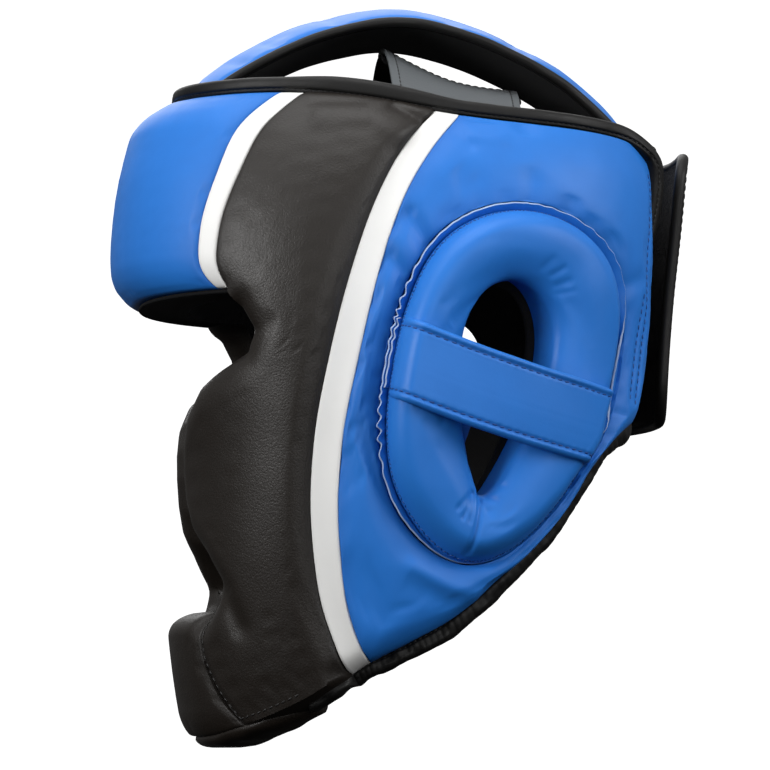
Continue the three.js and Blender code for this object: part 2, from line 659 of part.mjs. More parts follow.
addPair("crown_binding", "binding", crownTurns.map((turn) => range(8).map((i) => {
  const angle = ((i + 0.5) * Math.PI) / 4;
  const x = crownHalf(turn) + crownRoll + clearance + crownRoll * Math.cos(angle);
  return crownPoint(turn, x, crownReach(turn) - crownThick(turn) + crownRoll + crownRoll * Math.sin(angle));
})));

// Cross straps from rim to rim: the left one lies on the right one
const crossMiddle = tableCurve(crossRows, "y", "middle");
const crossRoot = tableCurve(crossRows, "y", "root");
function crossSections(end) {
  return eased(9).map((share) => {
    const face = (lift) => crossRows.map(({ y }) => {
      const angle = Math.atan2(crossStrap.rimHalf, formCentre - y) / degree;
      const rim = place(angle, crossRoot(y), headRadius(angle, crossRoot(y)) - crossStrap.inset);
      const x = THREE.MathUtils.lerp(rim.x, end, share);
      const height = THREE.MathUtils.lerp(crossMiddle(y), crossRoot(y), (x / rim.x) ** 2);
      return new THREE.Vector3(x, THREE.MathUtils.lerp(rim.y, y, share), height + lift);
    });
    return [...face(crossStrap.wall), ...face(0).reverse()];
  });
}
addPiece("cross_strap_left", "hook", crossSections(crossStrap.leftEnd));
const underSections = crossSections(-crossStrap.rightEnd);
addPiece("cross_strap_right", "loop", underSections.map((loop) => loop.map((point) => {
  return new THREE.Vector3(-point.x, point.y, point.z - crossStrap.drop);
})));

// Loop panel between the rear pads
addPiece("back_panel", "loop", spread(loopPanel.bottom, loopPanel.top, 7).map((z) => {
  const edge = backAngle(z) + 2 * seamGap;
  const angles = spread(edge, 360 - edge, 9);
  const face = (lift) => angles.map((angle) => place(angle, z, headRadius(angle, z) + lift));
  return [...face(clearance + loopPanel.wall), ...face(clearance).reverse()];
}));

// Closing flap, sewn on the right rear pad and laid over the panel to the left
const flapFace = tableCurve(flapRows, "z", "face");
addPiece("back_flap", "loop", eased(12).map((turnShare) => {
  const angle = THREE.MathUtils.lerp(flap.free, flap.sewn, turnShare);
  const rounding = Math.max(0, 1 - ((angle - flap.free) * degree * mapRadius) / flap.corner);
  const trim = flap.corner * (1 - Math.sqrt(1 - rounding ** 2));
  const heights = spread(flapRows[0].z + trim, flapRows.at(-1).z - trim, 7);
  const face = (depth) => heights.map((z) => {
    const stand = flapFace(z) - level.back(z) - flap.wall;
    const share = THREE.MathUtils.smoothstep(angle, flap.bend, flap.sewn);
    return place(angle, z, outerRadius(angle, z) + THREE.MathUtils.lerp(stand, flap.lift, share) + depth);
  });
  return [...face(flap.wall), ...face(0).reverse()];
}));

export default headGuard;
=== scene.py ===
import math

import bmesh
import bpy
import numpy as np
from mathutils import Matrix, Vector
from mathutils.bvhtree import BVHTree


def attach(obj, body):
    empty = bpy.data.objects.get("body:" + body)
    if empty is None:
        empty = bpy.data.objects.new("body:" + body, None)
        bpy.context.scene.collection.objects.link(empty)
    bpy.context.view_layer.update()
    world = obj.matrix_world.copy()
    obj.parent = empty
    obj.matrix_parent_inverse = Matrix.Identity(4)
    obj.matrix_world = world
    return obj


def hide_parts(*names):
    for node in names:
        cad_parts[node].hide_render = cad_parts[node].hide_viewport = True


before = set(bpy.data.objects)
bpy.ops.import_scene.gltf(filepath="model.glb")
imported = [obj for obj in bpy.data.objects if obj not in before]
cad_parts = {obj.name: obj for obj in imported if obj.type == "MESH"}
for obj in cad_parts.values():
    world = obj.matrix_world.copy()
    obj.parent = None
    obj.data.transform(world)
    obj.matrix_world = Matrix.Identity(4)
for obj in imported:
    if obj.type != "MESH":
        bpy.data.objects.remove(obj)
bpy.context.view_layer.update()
print("frame loaded:", len(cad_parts), "solids")

degree = math.pi / 180
metre = 0.001    # everything below is in millimetres and degrees until it becomes a mesh

# The form of the guard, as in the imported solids: angles round the head (0 at the face, 90 over the
# ear, 180 at the back) and heights
form = {
    "centre": 5, "faceSquareness": 2.35, "napeSquareness": 2.5, "mapRadius": 95,
    "levels": [-305, -284, -244, -204, -181, -150, -124, -94, -69, -44, -34, -24, -10],
    "front": [-78, -84, -89.3, -89.5, -90, -95, -106, -113.3, -111.5, -105, -98, -87, -70],
    "back": [80, 85, 95, 102, 106, 110, 112, 113.5, 114, 110, 105, 99, 85],
    "side": [68, 74, 84, 92, 95, 97, 97, 95, 90, 80, 74, 66, 52],
    "inFront": [-53, -56, -60, -61, -62, -70, -80, -86, -86, -85, -83, -80, -64],
    "inBack": [70, 74, 82, 89, 93, 96, 97.5, 98.5, 98, 95.5, 93, 90, 78],
    "inSide": [51, 55, 64, 72, 75, 77, 78, 78, 76, 69, 65, 59, 46],
    "rim": ([0, 20, 48, 75, 97, 117, 141, 163], [-25.5, -27, -28, -31.4, -37, -40.5, -43.2, -47]),
    "lower": (
        [0, 20, 39, 59, 73, 88, 100, 111, 121, 131, 137, 144, 154],
        [-289, -288.5, -284, -273.5, -261, -251.5, -242.5, -229.5, -214.5, -195, -180.5, -168.5, -160],
    ),
    "backEdge": ([-160, -143, -116, -91, -45], [149.5, 153.5, 156, 156, 158]),
    "browSeam": (
        [-112, -107.5, -101, -88, -63, -50, -36, -28],
        [44.3, 42.8, 41.9, 42.2, 44.9, 46.3, 50.6, 54.3],
        [1.5, 1.9, 2.05, 2.2, 2.6, 2.95, 3.35, 3.5],
    ),
    "sideSeam": (
        [-264, -246, -233, -202, -177, -140, -102.5, -77, -64, -51, -36],
        [73.7, 69.2, 67.4, 66.6, 67.8, 72.1, 77.5, 82.6, 86.7, 92.4, 103.7],
        [3.6, 3.15, 3.25, 3.3, 3.3, 3.35, 3.2, 3.3, 3.7, 4.1, 4.1],
    ),
    "chinSeam": ([-284, -269, -253, -238.5], [39, 31.5, 27.8, 28]),
    "hem": -112, "chinTop": -238.5, "sideFoot": -262.5, "sideTop": -42, "backFoot": -155, "seamGap": 0.1,
    "clearance": 0.45, "liningWall": 1.5,
    "rimThin": 6.5, "rimThick": 12.5, "rimFrom": 100, "rimTo": 150, "rimEnd": 158,
    "rimAcross": 4, "rimUp": 3.2, "rimProud": 0.8,
}
arcDegree = form["mapRadius"] * degree    # millimetres on the flat map for one degree


def lerp(a, b, t):
    return a + (b - a) * t


def smoothStep(x, low, high):
    t = np.clip((x - low) / (high - low), 0, 1)
    return t * t * (3 - 2 * t)


def bell(x, middle, width):
    return np.exp(-(((x - middle) / width) ** 2))


def crowded(count, share=0.65):    # 0 to 1, closer together at both ends
    t = np.linspace(0, 1, count)
    return lerp(t, 0.5 - 0.5 * np.cos(np.pi * t), share)


# Smooth curve through points without overshoot, then softened over a width
def fineCurve(xs, ys, soften=0, loop=False):
    xs = np.array(xs, float)
    ys = np.array(ys, float)
    step = np.diff(xs)
    rise = np.diff(ys) / step
    slope = np.concatenate([rise[:1], np.zeros(len(xs) - 2), rise[-1:]])
    for i in np.flatnonzero(rise[:-1] * rise[1:] > 0):
        before = 2 * step[i + 1] + step[i]
        after = step[i + 1] + 2 * step[i]
        slope[i + 1] = (before + after) / (before / rise[i] + after / rise[i + 1])
    fine = np.linspace(xs[0], xs[-1], 1601)
    i = np.clip(np.searchsorted(xs, fine, "right") - 1, 0, len(xs) - 2)
    t = (fine - xs[i]) / step[i]
    values = ys[i] * (1 + 2 * t) * (1 - t) ** 2 + slope[i] * step[i] * t * (1 - t) ** 2
    values += ys[i + 1] * (3 - 2 * t) * t ** 2 - slope[i + 1] * step[i] * (1 - t) * t ** 2
    if soften:
        spacing = fine[1] - fine[0]
        reach = int(3 * soften / spacing)
        kernel = np.exp(-0.5 * (np.arange(-reach, reach + 1) * spacing / soften) ** 2)
        if loop:
            longer = np.concatenate([values[-reach - 1:-1], values, values[1:reach + 1]])
        else:
            head = 2 * values[0] - values[reach:0:-1]
            tail = 2 * values[-1] - values[-2:-reach - 2:-1]
            longer = np.concatenate([head, values, tail])
        values = np.convolve(longer, kernel / kernel.sum(), "valid")
    return lambda x: np.interp(x, fine, values)


# Smooth seeded noise on a flat map, from -1 to 1
def softNoise(x, y, size, seed):
    table = np.random.default_rng(seed).uniform(-1, 1, (64, 64))
    u = np.asarray(x) / size
    v = np.asarray(y) / size
    i = np.floor(u).astype(int)
    j = np.floor(v).astype(int)
    s = smoothStep(u - i, 0, 1)
    t = smoothStep(v - j, 0, 1)
    low = lerp(table[i % 64, j % 64], table[(i + 1) % 64, j % 64], s)
    high = lerp(table[i % 64, (j + 1) % 64], table[(i + 1) % 64, (j + 1) % 64], s)
    return lerp(low, high, t)


levelSides = ("front", "back", "side", "inFront", "inBack", "inSide")
level = {name: fineCurve(form["levels"], form[name], 5) for name in levelSides}
rimCurve = fineCurve(*form["rim"], 6)
lowerCurve = fineCurve(*form["lower"], 2.5)
backAngle = fineCurve(*form["backEdge"], 5)
browSeamAngle = fineCurve(form["browSeam"][0], form["browSeam"][1], 3)
browSeamHalf = fineCurve(form["browSeam"][0], form["browSeam"][2], 3)
sideSeamAngle = fineCurve(form["sideSeam"][0], form["sideSeam"][1], 6)
sideSeamHalf = fineCurve(form["sideSeam"][0], form["sideSeam"][2], 6)
chinSeamAngle = fineCurve(*form["chinSeam"], 2)
chinFoot = form["chinSeam"][0][0]


def rimHeight(angle):
    return rimCurve(np.abs(angle))


def lowerHeight(angle):
    return lowerCurve(np.abs(angle))


def rimLip(angle):
    share = smoothStep(np.abs(angle), form["rimFrom"], form["rimTo"])
    return lerp(form["rimThin"], form["rimThick"], share)


def padTop(angle):
    return rimHeight(angle) - form["rimUp"] - form["clearance"]


def ovalRadius(angle, front, back, side):
    along = np.cos(angle * degree)
    reach = np.where(along > 0, form["centre"] - front, back - form["centre"])
    power = np.where(along > 0, form["faceSquareness"], form["napeSquareness"])
    across = np.abs(np.sin(angle * degree))
    return ((np.abs(along) / reach) ** power + (across / side) ** power) ** (-1 / power)


def outerRadius(angle, z):
    return ovalRadius(angle, level["front"](z), level["back"](z), level["side"](z))


def headRadius(angle, z):
    return ovalRadius(angle, level["inFront"](z), level["inBack"](z), level["inSide"](z))


def place(angle, z, radius):
    angle, z, radius = np.broadcast_arrays(angle, z, radius)
    x = radius * np.sin(angle * degree)
    return np.stack([x, form["centre"] - radius * np.cos(angle * degree), z], -1)


# One half of the guard laid flat: arc length from the face, and height
def mapSpot(angle, z):
    angle, z = np.broadcast_arrays(np.abs(angle) * degree * form["mapRadius"], z)
    return np.stack([angle, z], -1).astype(float)


def lineDistance(line, spots):
    nearest = np.full(spots.shape[:-1], np.inf)
    for start, end in zip(line[:-1], line[1:]):
        along = end - start
        share = np.clip(((spots - start) @ along) / max(along @ along, 1e-9), 0, 1)
        gap = spots - start - share[..., None] * along
        nearest = np.minimum(nearest, np.hypot(gap[..., 0], gap[..., 1]))
    return nearest


def levelLine(height, start, end, count):
    angles = np.linspace(start, end, count)
    return mapSpot(angles, height(angles))


def uprightLine(angle, start, end, count):
    heights = np.linspace(start, end, count)
    return mapSpot(angle(heights), heights)


def meeting(start, edge, height):    # height where a seam runs into an edge
    z = start
    for _ in range(8):
        z = float(height(edge(z)))
    return z


# Ear pad and its surroundings, by direction from the top of the ear's axis, turning backwards
ear = {
    "angle": 110, "z": -150, "lean": 9, "mouth": -5, "crestAt": 0.34, "holeRound": 0.45,
    "innerShare": 0.5, "steepFrom": (4, 8), "leastInset": 0.9, "shuts": (97, 114), "opens": (180, 212),
    "crest": [8, 6, 3.5, 3, 4, 5, 6, 8, 10, 10.5, 10.5, 9.5, 8],
    "seam": [-7, -6.5, -6.2, -6.2, -6, -6.5, -7, -8, -8, -8, -8, -7.5, -7],
    "fullness": 2.3, "gap": 0.15, "rearLeast": 3, "inset": 3.4, "rearInset": 1.2, "rearSpan": (76, 21),
    "reach": [74, 72, 57.5, 49.5, 48.5, 57.5, 73.5, 67, 53, 47.5, 52, 65.5, 74],
    "holeHalfHeight": 42.6, "holeHalfWidth": 17, "holeTaper": 0.45, "holeOut": -0.8, "holeUp": -2,
}
earCurves = [fineCurve(np.arange(0, 361, 30), ear[name], 9, True) for name in ("reach", "crest", "seam")]
earReachCurve, earCrest, earSeam = earCurves


def earReach(direction):
    return earReachCurve(np.mod(direction, 360))


def earSpot(direction, reach):
    turn = (direction + ear["lean"]) * degree
    angle = ear["angle"] + reach * np.sin(turn) / arcDegree
    return angle, ear["z"] + reach * np.cos(turn)


# Distance from the ear's middle to a line on the map, in every direction
def reachCurve(line):
    directions = np.linspace(0, 360, 2881)
    turn = (directions + ear["lean"]) * degree
    rayX, rayZ = np.sin(turn), np.cos(turn)
    middle = mapSpot(ear["angle"], ear["z"])
    farthest = np.zeros(len(directions))
    for start, end in zip(line[:-1], line[1:]):
        gap = start - middle
        along = end - start
        rate = rayX * along[1] - rayZ * along[0] + 1e-12
        share = (rayZ * gap[0] - rayX * gap[1]) / rate
        length = (gap[0] * along[1] - gap[1] * along[0]) / rate
        hit = (share >= 0) & (share <= 1) & (length > farthest)
        farthest = np.where(hit, length, farthest)
    return lambda direction: np.interp(np.mod(direction, 360), directions, farthest)


holeTurn = np.linspace(0, 2 * np.pi, 145)
holeWidth = ear["holeHalfWidth"] * (1 + ear["holeTaper"] * np.cos(holeTurn))
holeUp = ear["holeUp"] + ear["holeHalfHeight"] * np.cos(holeTurn)
holeOut = ear["holeOut"] + holeWidth * np.sin(holeTurn)
holeLine = mapSpot(*earSpot(np.arctan2(holeOut, holeUp) / degree, np.hypot(holeOut, holeUp)))
holeReach = reachCurve(holeLine)
earLine = mapSpot(*earSpot(np.linspace(0, 360, 121), earReach(np.linspace(0, 360, 121))))


def rearEdge(z):
    return sideSeamAngle(z) + sideSeamHalf(z) + form["seamGap"]


rearFootZ = meeting(form["sideFoot"], rearEdge, lowerHeight)
rearTopZ = meeting(form["sideTop"], rearEdge, padTop)
backTopZ = meeting(form["sideTop"], backAngle, padTop)
backFootZ = meeting(form["backFoot"], backAngle, lowerHeight)
rearFront = uprightLine(rearEdge, rearFootZ, rearTopZ, 61)
rearTop = levelLine(padTop, rearEdge(rearTopZ), backAngle(backTopZ), 31)
rearBack = uprightLine(backAngle, backTopZ, backFootZ, 31)
rearLow = levelLine(lowerHeight, rearEdge(rearFootZ), backAngle(backFootZ), 61)
rearBorder = np.concatenate([rearFront, rearTop, rearBack, rearLow[::-1], rearFront[:1]])
borderReach = reachCurve(rearBorder)

# Front edge of the cheek pad from the chin seam up to the brow, with the height of each row's far end
cheekRows = {
    "angle": [39, 34, 29.5, 27.6, 28.2, 32.5, 34, 28.5, 21.5, 17.5, 16.5, 18.5, 23.5, 31.5, 42, 49,
              51.5, 48.4],
    "z": [-284, -275, -262, -249, -239.5, -233.5, -228, -218.5, -209.5, -196, -181, -168, -157, -148,
          -142.5, -137.5, -129, -119.5],
    "rearZ": [-261, -253, -244, -235, -227, -220.5, -214, -207, -200, -190, -178.5, -167, -156.5, -147,
              -138.5, -131, -122, -112.5],
    "stripeZ": [-111, -102, -88, -74, -60, -46, -31.6], "stripeRear": (-104, -41.8), "chinRows": 5,
}
cheekLine = mapSpot(*(np.array(cheekRows[name][4:]) for name in ("angle", "z")))    # above the chin

# How the padding rounds off: line, thickness left there, reach, or the depth of a valley
padEdges = [
    {"line": levelLine(padTop, 0, form["rimEnd"], 48), "lip": rimLip,
     "round": lambda angle: lerp(15, 20, smoothStep(np.abs(angle), 35, 70))},
    {"line": levelLine(lambda a: a * 0 + form["hem"], 0, 45, 2), "lip": 19, "round": 14},
    {"line": cheekLine, "round": 14,
     "lip": lambda angle: lerp(13, 16, smoothStep(np.abs(angle), 30, 42))},
    {"line": levelLine(lambda a: a * 0 + form["chinTop"], 0, 28, 2), "lip": 16, "round": 10},
    {"line": levelLine(lowerHeight, 0, 70, 30), "lip": 24, "round": 10},
    {"line": levelLine(lowerHeight, 70, 154, 50), "lip": 11, "round": 12},
    {"line": rearBack, "lip": 12, "round": 8},
    {"line": earLine, "lip": 14, "round": 12},
    {"line": uprightLine(sideSeamAngle, form["sideFoot"], form["sideTop"], 50), "dip": 2, "round": 14},
    {"line": uprightLine(chinSeamAngle, chinFoot, form["chinTop"], 16), "dip": 0.9, "round": 5},
]


def padDepth(angle, z):
    full = outerRadius(angle, z) - headRadius(angle, z)
    spots = mapSpot(angle, z)
    loss = np.zeros(full.shape)
    for edge in padEdges:
        reach = edge["round"](angle) if callable(edge["round"]) else edge["round"]
        near = np.minimum(lineDistance(edge["line"], spots) / reach, 1)
        if "dip" in edge:
            fall = edge["dip"] / full * (0.5 + 0.5 * np.cos(np.pi * near))
        else:
            lip = edge["lip"](angle) if callable(edge["lip"]) else edge["lip"]
            fall = np.maximum(1 - lip / full, 0) * (1 - np.sqrt(near * (2 - near)))
        loss += fall ** 3
    return full * (1 - np.cbrt(loss))


# Small fall of the leather into a seam
def seamRoll(distance, look):
    near = np.clip(distance / look["seamWidth"], 0, 1)
    return look["seamDepth"] * (1 - np.sqrt(near * (2 - near)))


# Unevenness of the filling under a pad's skin
def ripples(x, z, look, sign=0):
    return look["ripple"] * softNoise(x, z + 400, look["rippleSize"], look["seed"] + sign)


# Folds and dents along short lines on the map: half width, and height or depth below 0
def foldHeight(spots, folds):
    total = np.zeros(spots.shape[:-1])
    for line, width, height in folds:
        total += height * bell(lineDistance(mapSpot(*np.array(line, float).T), spots), 0, width)
    return total


# Mesh parts: points in millimetres, faces, and which finish each face takes
def gridFaces(rows, columns, loop):
    i = np.arange(rows if loop else rows - 1)
    j = np.arange(columns - 1)
    here = (i[:, None] * columns + j).ravel()
    there = (((i + 1) % rows)[:, None] * columns + j).ravel()
    return np.stack([here, here + 1, there + 1, there], 1)


def borderIndex(rows, columns):
    r = np.arange(rows)
    c = np.arange(columns)
    alongRows = np.concatenate([c * 0, r[1:], c[:-1] * 0 + rows - 1, r[-2:0:-1]])
    alongColumns = np.concatenate([c, r[1:] * 0 + columns - 1, c[-2::-1], r[-2:0:-1] * 0])
    return alongRows, alongColumns


# Cloth pass: a coarse copy of a pad is blown up with its seams held, and the fine skin follows it
padding = {
    "pressure": 4.0, "mass": 0.004, "tension": 15.0, "bending": 1.5, "frames": 20, "every": (3, 2),
}


def spread(shift, rows, columns, loop):    # from the coarse grid to every point of the fine one
    coarseRows, coarseColumns = shift.shape[:2]
    across = np.linspace(0, coarseColumns - 1, columns)
    j = np.minimum(across.astype(int), coarseColumns - 2)
    t = (across - j)[None, :, None]
    wide = lerp(shift[:, j], shift[:, j + 1], t)
    if loop:
        wide = np.concatenate([wide, wide[:1]])
        along = np.arange(rows) * coarseRows / rows
    else:
        along = np.linspace(0, coarseRows - 1, rows)
    i = np.minimum(along.astype(int), len(wide) - 2)
    s = smoothStep(along - i, 0, 1)[:, None, None]
    return lerp(wide[i], wide[i + 1], s)


def puffed(outer, inner, look, loop=False):
    rows, columns = outer.shape[:2]
    rowCount, columnCount = rows // padding["every"][0], columns // padding["every"][1]
    rowPicks = np.arange(rowCount) * rows / rowCount if loop else np.linspace(0, rows - 1, rowCount)
    columnPicks = np.linspace(0, columns - 1, columnCount)
    picked = np.ix_(np.rint(rowPicks).astype(int), np.rint(columnPicks).astype(int))
    coarse = padMesh(outer[picked], inner[picked], loop, rings=1, puff=0)
    points = coarse[0]
    held = np.ones(len(points), bool)
    free = np.zeros((rowCount, columnCount), bool)
    free[(slice(None) if loop else slice(1, -1)), 1:-1] = True
    held[:free.size] = ~free.ravel()
    bag = addPiece("paddingBag", coarse, [])
    bag.vertex_groups.new(name="seams").add(np.flatnonzero(held).tolist(), 1.0, "REPLACE")
    cloth = bag.modifiers.new("padding", "CLOTH")
    skin = cloth.settings
    skin.vertex_group_mass = "seams"
    skin.mass = padding["mass"]
    skin.use_pressure = True
    skin.uniform_pressure_force = padding["pressure"]
    skin.shrink_min = -look["spare"]
    skin.tension_stiffness = padding["tension"]
    skin.compression_stiffness = padding["tension"]
    skin.bending_stiffness = padding["bending"]
    skin.effector_weights.gravity = 0
    cloth.point_cache.frame_end = padding["frames"]
    for step in range(1, padding["frames"] + 1):
        bpy.context.scene.frame_set(step)
    settled = bag.evaluated_get(bpy.context.evaluated_depsgraph_get())
    moved = np.empty(3 * len(points), np.float32)
    settled.data.vertices.foreach_get("co", moved)
    shift = moved.reshape(-1, 3)[:free.size] / metre - points[:free.size]
    shift = shift.reshape(rowCount, columnCount, 3)
    data = bag.data
    bpy.data.objects.remove(bag)
    bpy.data.meshes.remove(data)
    bpy.context.scene.frame_set(1)
    length = np.linalg.norm(shift, axis=-1, keepdims=True)
    print("padding moved %.2f mm at most, %.2f on average" % (length.max(), length.mean()))
    capped = shift * np.minimum(1, look["cap"] / np.maximum(length, 1e-9))
    return outer + spread(capped, rows, columns, loop)


# Closed pad from an outer and an inner face, with walls that swell a little
def padMesh(outer, inner, loop=False, rings=4, puff=0.8):
    rows, columns = outer.shape[:2]
    size = rows * columns
    points = [outer.reshape(-1, 3), inner.reshape(-1, 3)]
    faces = [gridFaces(rows, columns, loop), gridFaces(rows, columns, loop) + size]
    kinds = [np.zeros(len(faces[0]), int), np.ones(len(faces[1]), int)]
    if loop:
        r = np.arange(rows)
        borders = [(r, r * 0), (r, r * 0 + columns - 1)]
    else:
        borders = [borderIndex(rows, columns)]
    total = 2 * size
    for i, j in borders:
        inI = i if loop else np.clip(i, 1, rows - 2)
        inJ = np.clip(j, 1, columns - 2)
        outward = outer[i, j] - outer[inI, inJ] + inner[i, j] - inner[inI, inJ]
        outward /= np.linalg.norm(outward, axis=1, keepdims=True) + 1e-9
        previous = i * columns + j
        for k in range(1, rings + 2):
            if k <= rings:
                t = k / (rings + 1)
                swell = puff * math.sin(math.pi * t)
                points.append(lerp(outer[i, j], inner[i, j], t) + outward * swell)
                current = total + np.arange(len(i))
                total += len(i)
            else:
                current = i * columns + j + size
            quads = [previous, np.roll(previous, -1), np.roll(current, -1), current]
            faces.append(np.stack(quads, 1))
            kinds.append(np.zeros(len(i), int))
            previous = current
    return np.concatenate(points), np.concatenate(faces).tolist(), np.concatenate(kinds)


# Roll through closed sections, as a ring or with ends rounded off
def rollMesh(sections, loop=False, bulge=1.0):
    if not loop:
        ends = []
        for end, second in ((0, 1), (-1, -2)):
            middle = sections[end].mean(0)
            ahead = middle - sections[second].mean(0)
            ahead /= np.linalg.norm(ahead)
            fromMiddle = sections[end] - middle
            turns = np.array([35, 62, 80])[:, None, None] * degree
            ends.append(middle + fromMiddle * np.cos(turns) + ahead * bulge * np.sin(turns))
        sections = np.concatenate([ends[0][::-1], sections, ends[1]])
    rows, columns = sections.shape[:2]
    i = np.arange(rows if loop else rows - 1)
    j = np.arange(columns)
    here = (i[:, None] * columns + j).ravel()
    right = (i[:, None] * columns + (j + 1) % columns).ravel()
    step = (((i + 1) % rows) - i)[:, None] * columns + j * 0
    faces = np.stack([here, right, right + step.ravel(), here + step.ravel()], 1).tolist()
    points = sections.reshape(-1, 3)
    if not loop:
        points = np.concatenate([points, sections[0].mean(0)[None], sections[-1].mean(0)[None]])
        last = (rows - 1) * columns
        faces += [[k, (k + 1) % columns, len(points) - 2] for k in range(columns)]
        faces += [[last + k, last + (k + 1) % columns, len(points) - 1] for k in range(columns)]
    return points, faces, np.zeros(len(faces), int)


# Bound edge round a flat piece: a small roll that follows its border with softened corners
def edgeRoll(outer, inner, wide, tall, count=420, soften=3.0, around=14):
    i, j = borderIndex(*outer.shape[:2])
    middle = (outer[i, j] + inner[i, j]) / 2
    closed = np.concatenate([middle, middle[:1]])
    length = np.concatenate([[0], np.cumsum(np.linalg.norm(np.diff(closed, axis=0), axis=1))])
    even = np.arange(count) * length[-1] / count
    upward = outer[i, j] - inner[i, j]
    upward = np.concatenate([upward, upward[:1]])
    reach = int(3 * soften * count / length[-1])
    kernel = np.exp(-0.5 * (np.arange(-reach, reach + 1) * length[-1] / count / soften) ** 2)
    smooth = []
    for line in (closed, upward):
        evenly = np.stack([np.interp(even, length, line[:, k]) for k in range(3)], 1)
        longer = np.concatenate([evenly[-reach:], evenly, evenly[:reach]])
        softer = [np.convolve(longer[:, k], kernel / kernel.sum(), "valid") for k in range(3)]
        smooth.append(np.stack(softer, 1))
    core, upward = smooth
    upward /= np.linalg.norm(upward, axis=1, keepdims=True)
    ahead = np.roll(core, -1, 0) - np.roll(core, 1, 0)
    aside = np.cross(ahead, upward)
    aside /= np.linalg.norm(aside, axis=1, keepdims=True)
    turn = (np.arange(around) * 2 * np.pi / around)[None, :, None]
    aside = aside[:, None] * wide * np.cos(turn)
    return rollMesh(core[:, None] + aside + upward[:, None] * tall * np.sin(turn), loop=True)


def linked(name, data):
    made = bpy.data.objects.new(name, data)
    bpy.context.scene.collection.objects.link(made)
    return made


def addPiece(name, mesh, coats, seam=None, lay=None, sharp=55):
    points, faces, kinds = mesh
    data = bpy.data.meshes.new(name)
    data.from_pydata((points * metre).tolist(), [], faces)
    for coat in coats:
        data.materials.append(finishes[coat])
    data.polygons.foreach_set("material_index", np.minimum(kinds, len(coats) - 1).astype(np.int32))
    data.polygons.foreach_set("use_smooth", np.ones(len(faces), bool))
    # Closeness to a seam, which the leather finish paints as shade
    seamShadeMask = np.zeros(len(points), np.float32)
    if seam is not None:
        seamShadeMask[:seam.size] = seam.ravel()
    data.attributes.new("seam", "FLOAT", "POINT").data.foreach_set("value", seamShadeMask)
    if lay is not None:
        flat = np.zeros((len(points), 3), np.float32)
        both = np.concatenate([lay.reshape(-1, 2)] * 2) * metre
        flat[:len(both), :2] = both
        data.attributes.new("lay", "FLOAT_VECTOR", "POINT").data.foreach_set("vector", flat.ravel())
    shell = bmesh.new()
    shell.from_mesh(data)
    bmesh.ops.recalc_face_normals(shell, faces=shell.faces)
    shell.to_mesh(data)
    shell.free()
    data.set_sharp_from_angle(angle=sharp * degree)
    return linked(name, data)


def dress(piece, nodes=()):
    if nodes:
        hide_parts(*nodes)
    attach(piece, "root")
    return piece


# Piece that stands for a solid of the frame, which it hides: named after it
def makePiece(node, mesh, coats, seam=None, lay=None):
    first, *rest = node.split("_")
    name = first + "".join(word.capitalize() for word in rest)
    return dress(addPiece(name, mesh, coats, seam, lay), [node])


sides = (("Left", "left", 1), ("Right", "right", -1))
flip = {1: np.array([1, 1, 1]), -1: np.array([-1, 1, 1])}


# Shader maths as plain expressions on sockets
def operator(operation, swapped=False):
    def apply(value, other):
        first, second = (other, value) if swapped else (value, other)
        return value.finish.node("ShaderNodeMath", {"operation": operation}, {0: first, 1: second})
    return apply


class Value:
    def __init__(self, finish, socket):
        self.finish = finish
        self.socket = socket

    __add__ = operator("ADD")
    __radd__ = operator("ADD", True)
    __sub__ = operator("SUBTRACT")
    __rsub__ = operator("SUBTRACT", True)
    __mul__ = operator("MULTIPLY")
    __rmul__ = operator("MULTIPLY", True)


class Finish:
    def __init__(self, owner, shader="Principled BSDF"):
        self.owner = owner
        owner.use_nodes = True
        self.tree = owner.node_tree
        self.shader = self.tree.nodes[shader]

    def put(self, socket, value):
        if isinstance(value, Value):
            self.tree.links.new(value.socket, socket)
        else:
            socket.default_value = value

    def node(self, kind, settings, sockets, output=0):
        made = self.tree.nodes.new(kind)
        for name, setting in settings.items():
            if name == "stops":
                while len(made.color_ramp.elements) < len(setting):
                    made.color_ramp.elements.new(1.0)
                for stop, (position, colour) in zip(made.color_ramp.elements, setting):
                    stop.position = position
                    stop.color = colour
            else:
                setattr(made, name, setting)
        for name, value in sockets.items():
            self.put(made.inputs[name], value)
        return Value(self, made.outputs[output])

    def mix(self, factor, first, second):
        return self.node("ShaderNodeMix", {"data_type": "RGBA"}, {0: factor, 6: first, 7: second}, 2)

    def noise(self, where, scale, detail=2.0, roughness=0.5):
        sockets = {"Vector": where, "Scale": scale, "Detail": detail, "Roughness": roughness}
        return self.node("ShaderNodeTexNoise", {}, sockets)

    def scatter(self, where, look):    # small sideways shift, so that cracks aren't straight
        sockets = {"Vector": where, "Scale": look["crackScale"] * 1.7, "Detail": 2.0}
        shift = self.node("ShaderNodeTexNoise", {}, sockets, "Color")
        size = {0: shift, "Scale": 0.5 / look["crackScale"]}
        return self.node("ShaderNodeVectorMath", {"operation": "SCALE"}, size)

    def surface(self, sockets):
        for name, value in sockets.items():
            self.put(self.shader.inputs[name], value)
        return self.owner
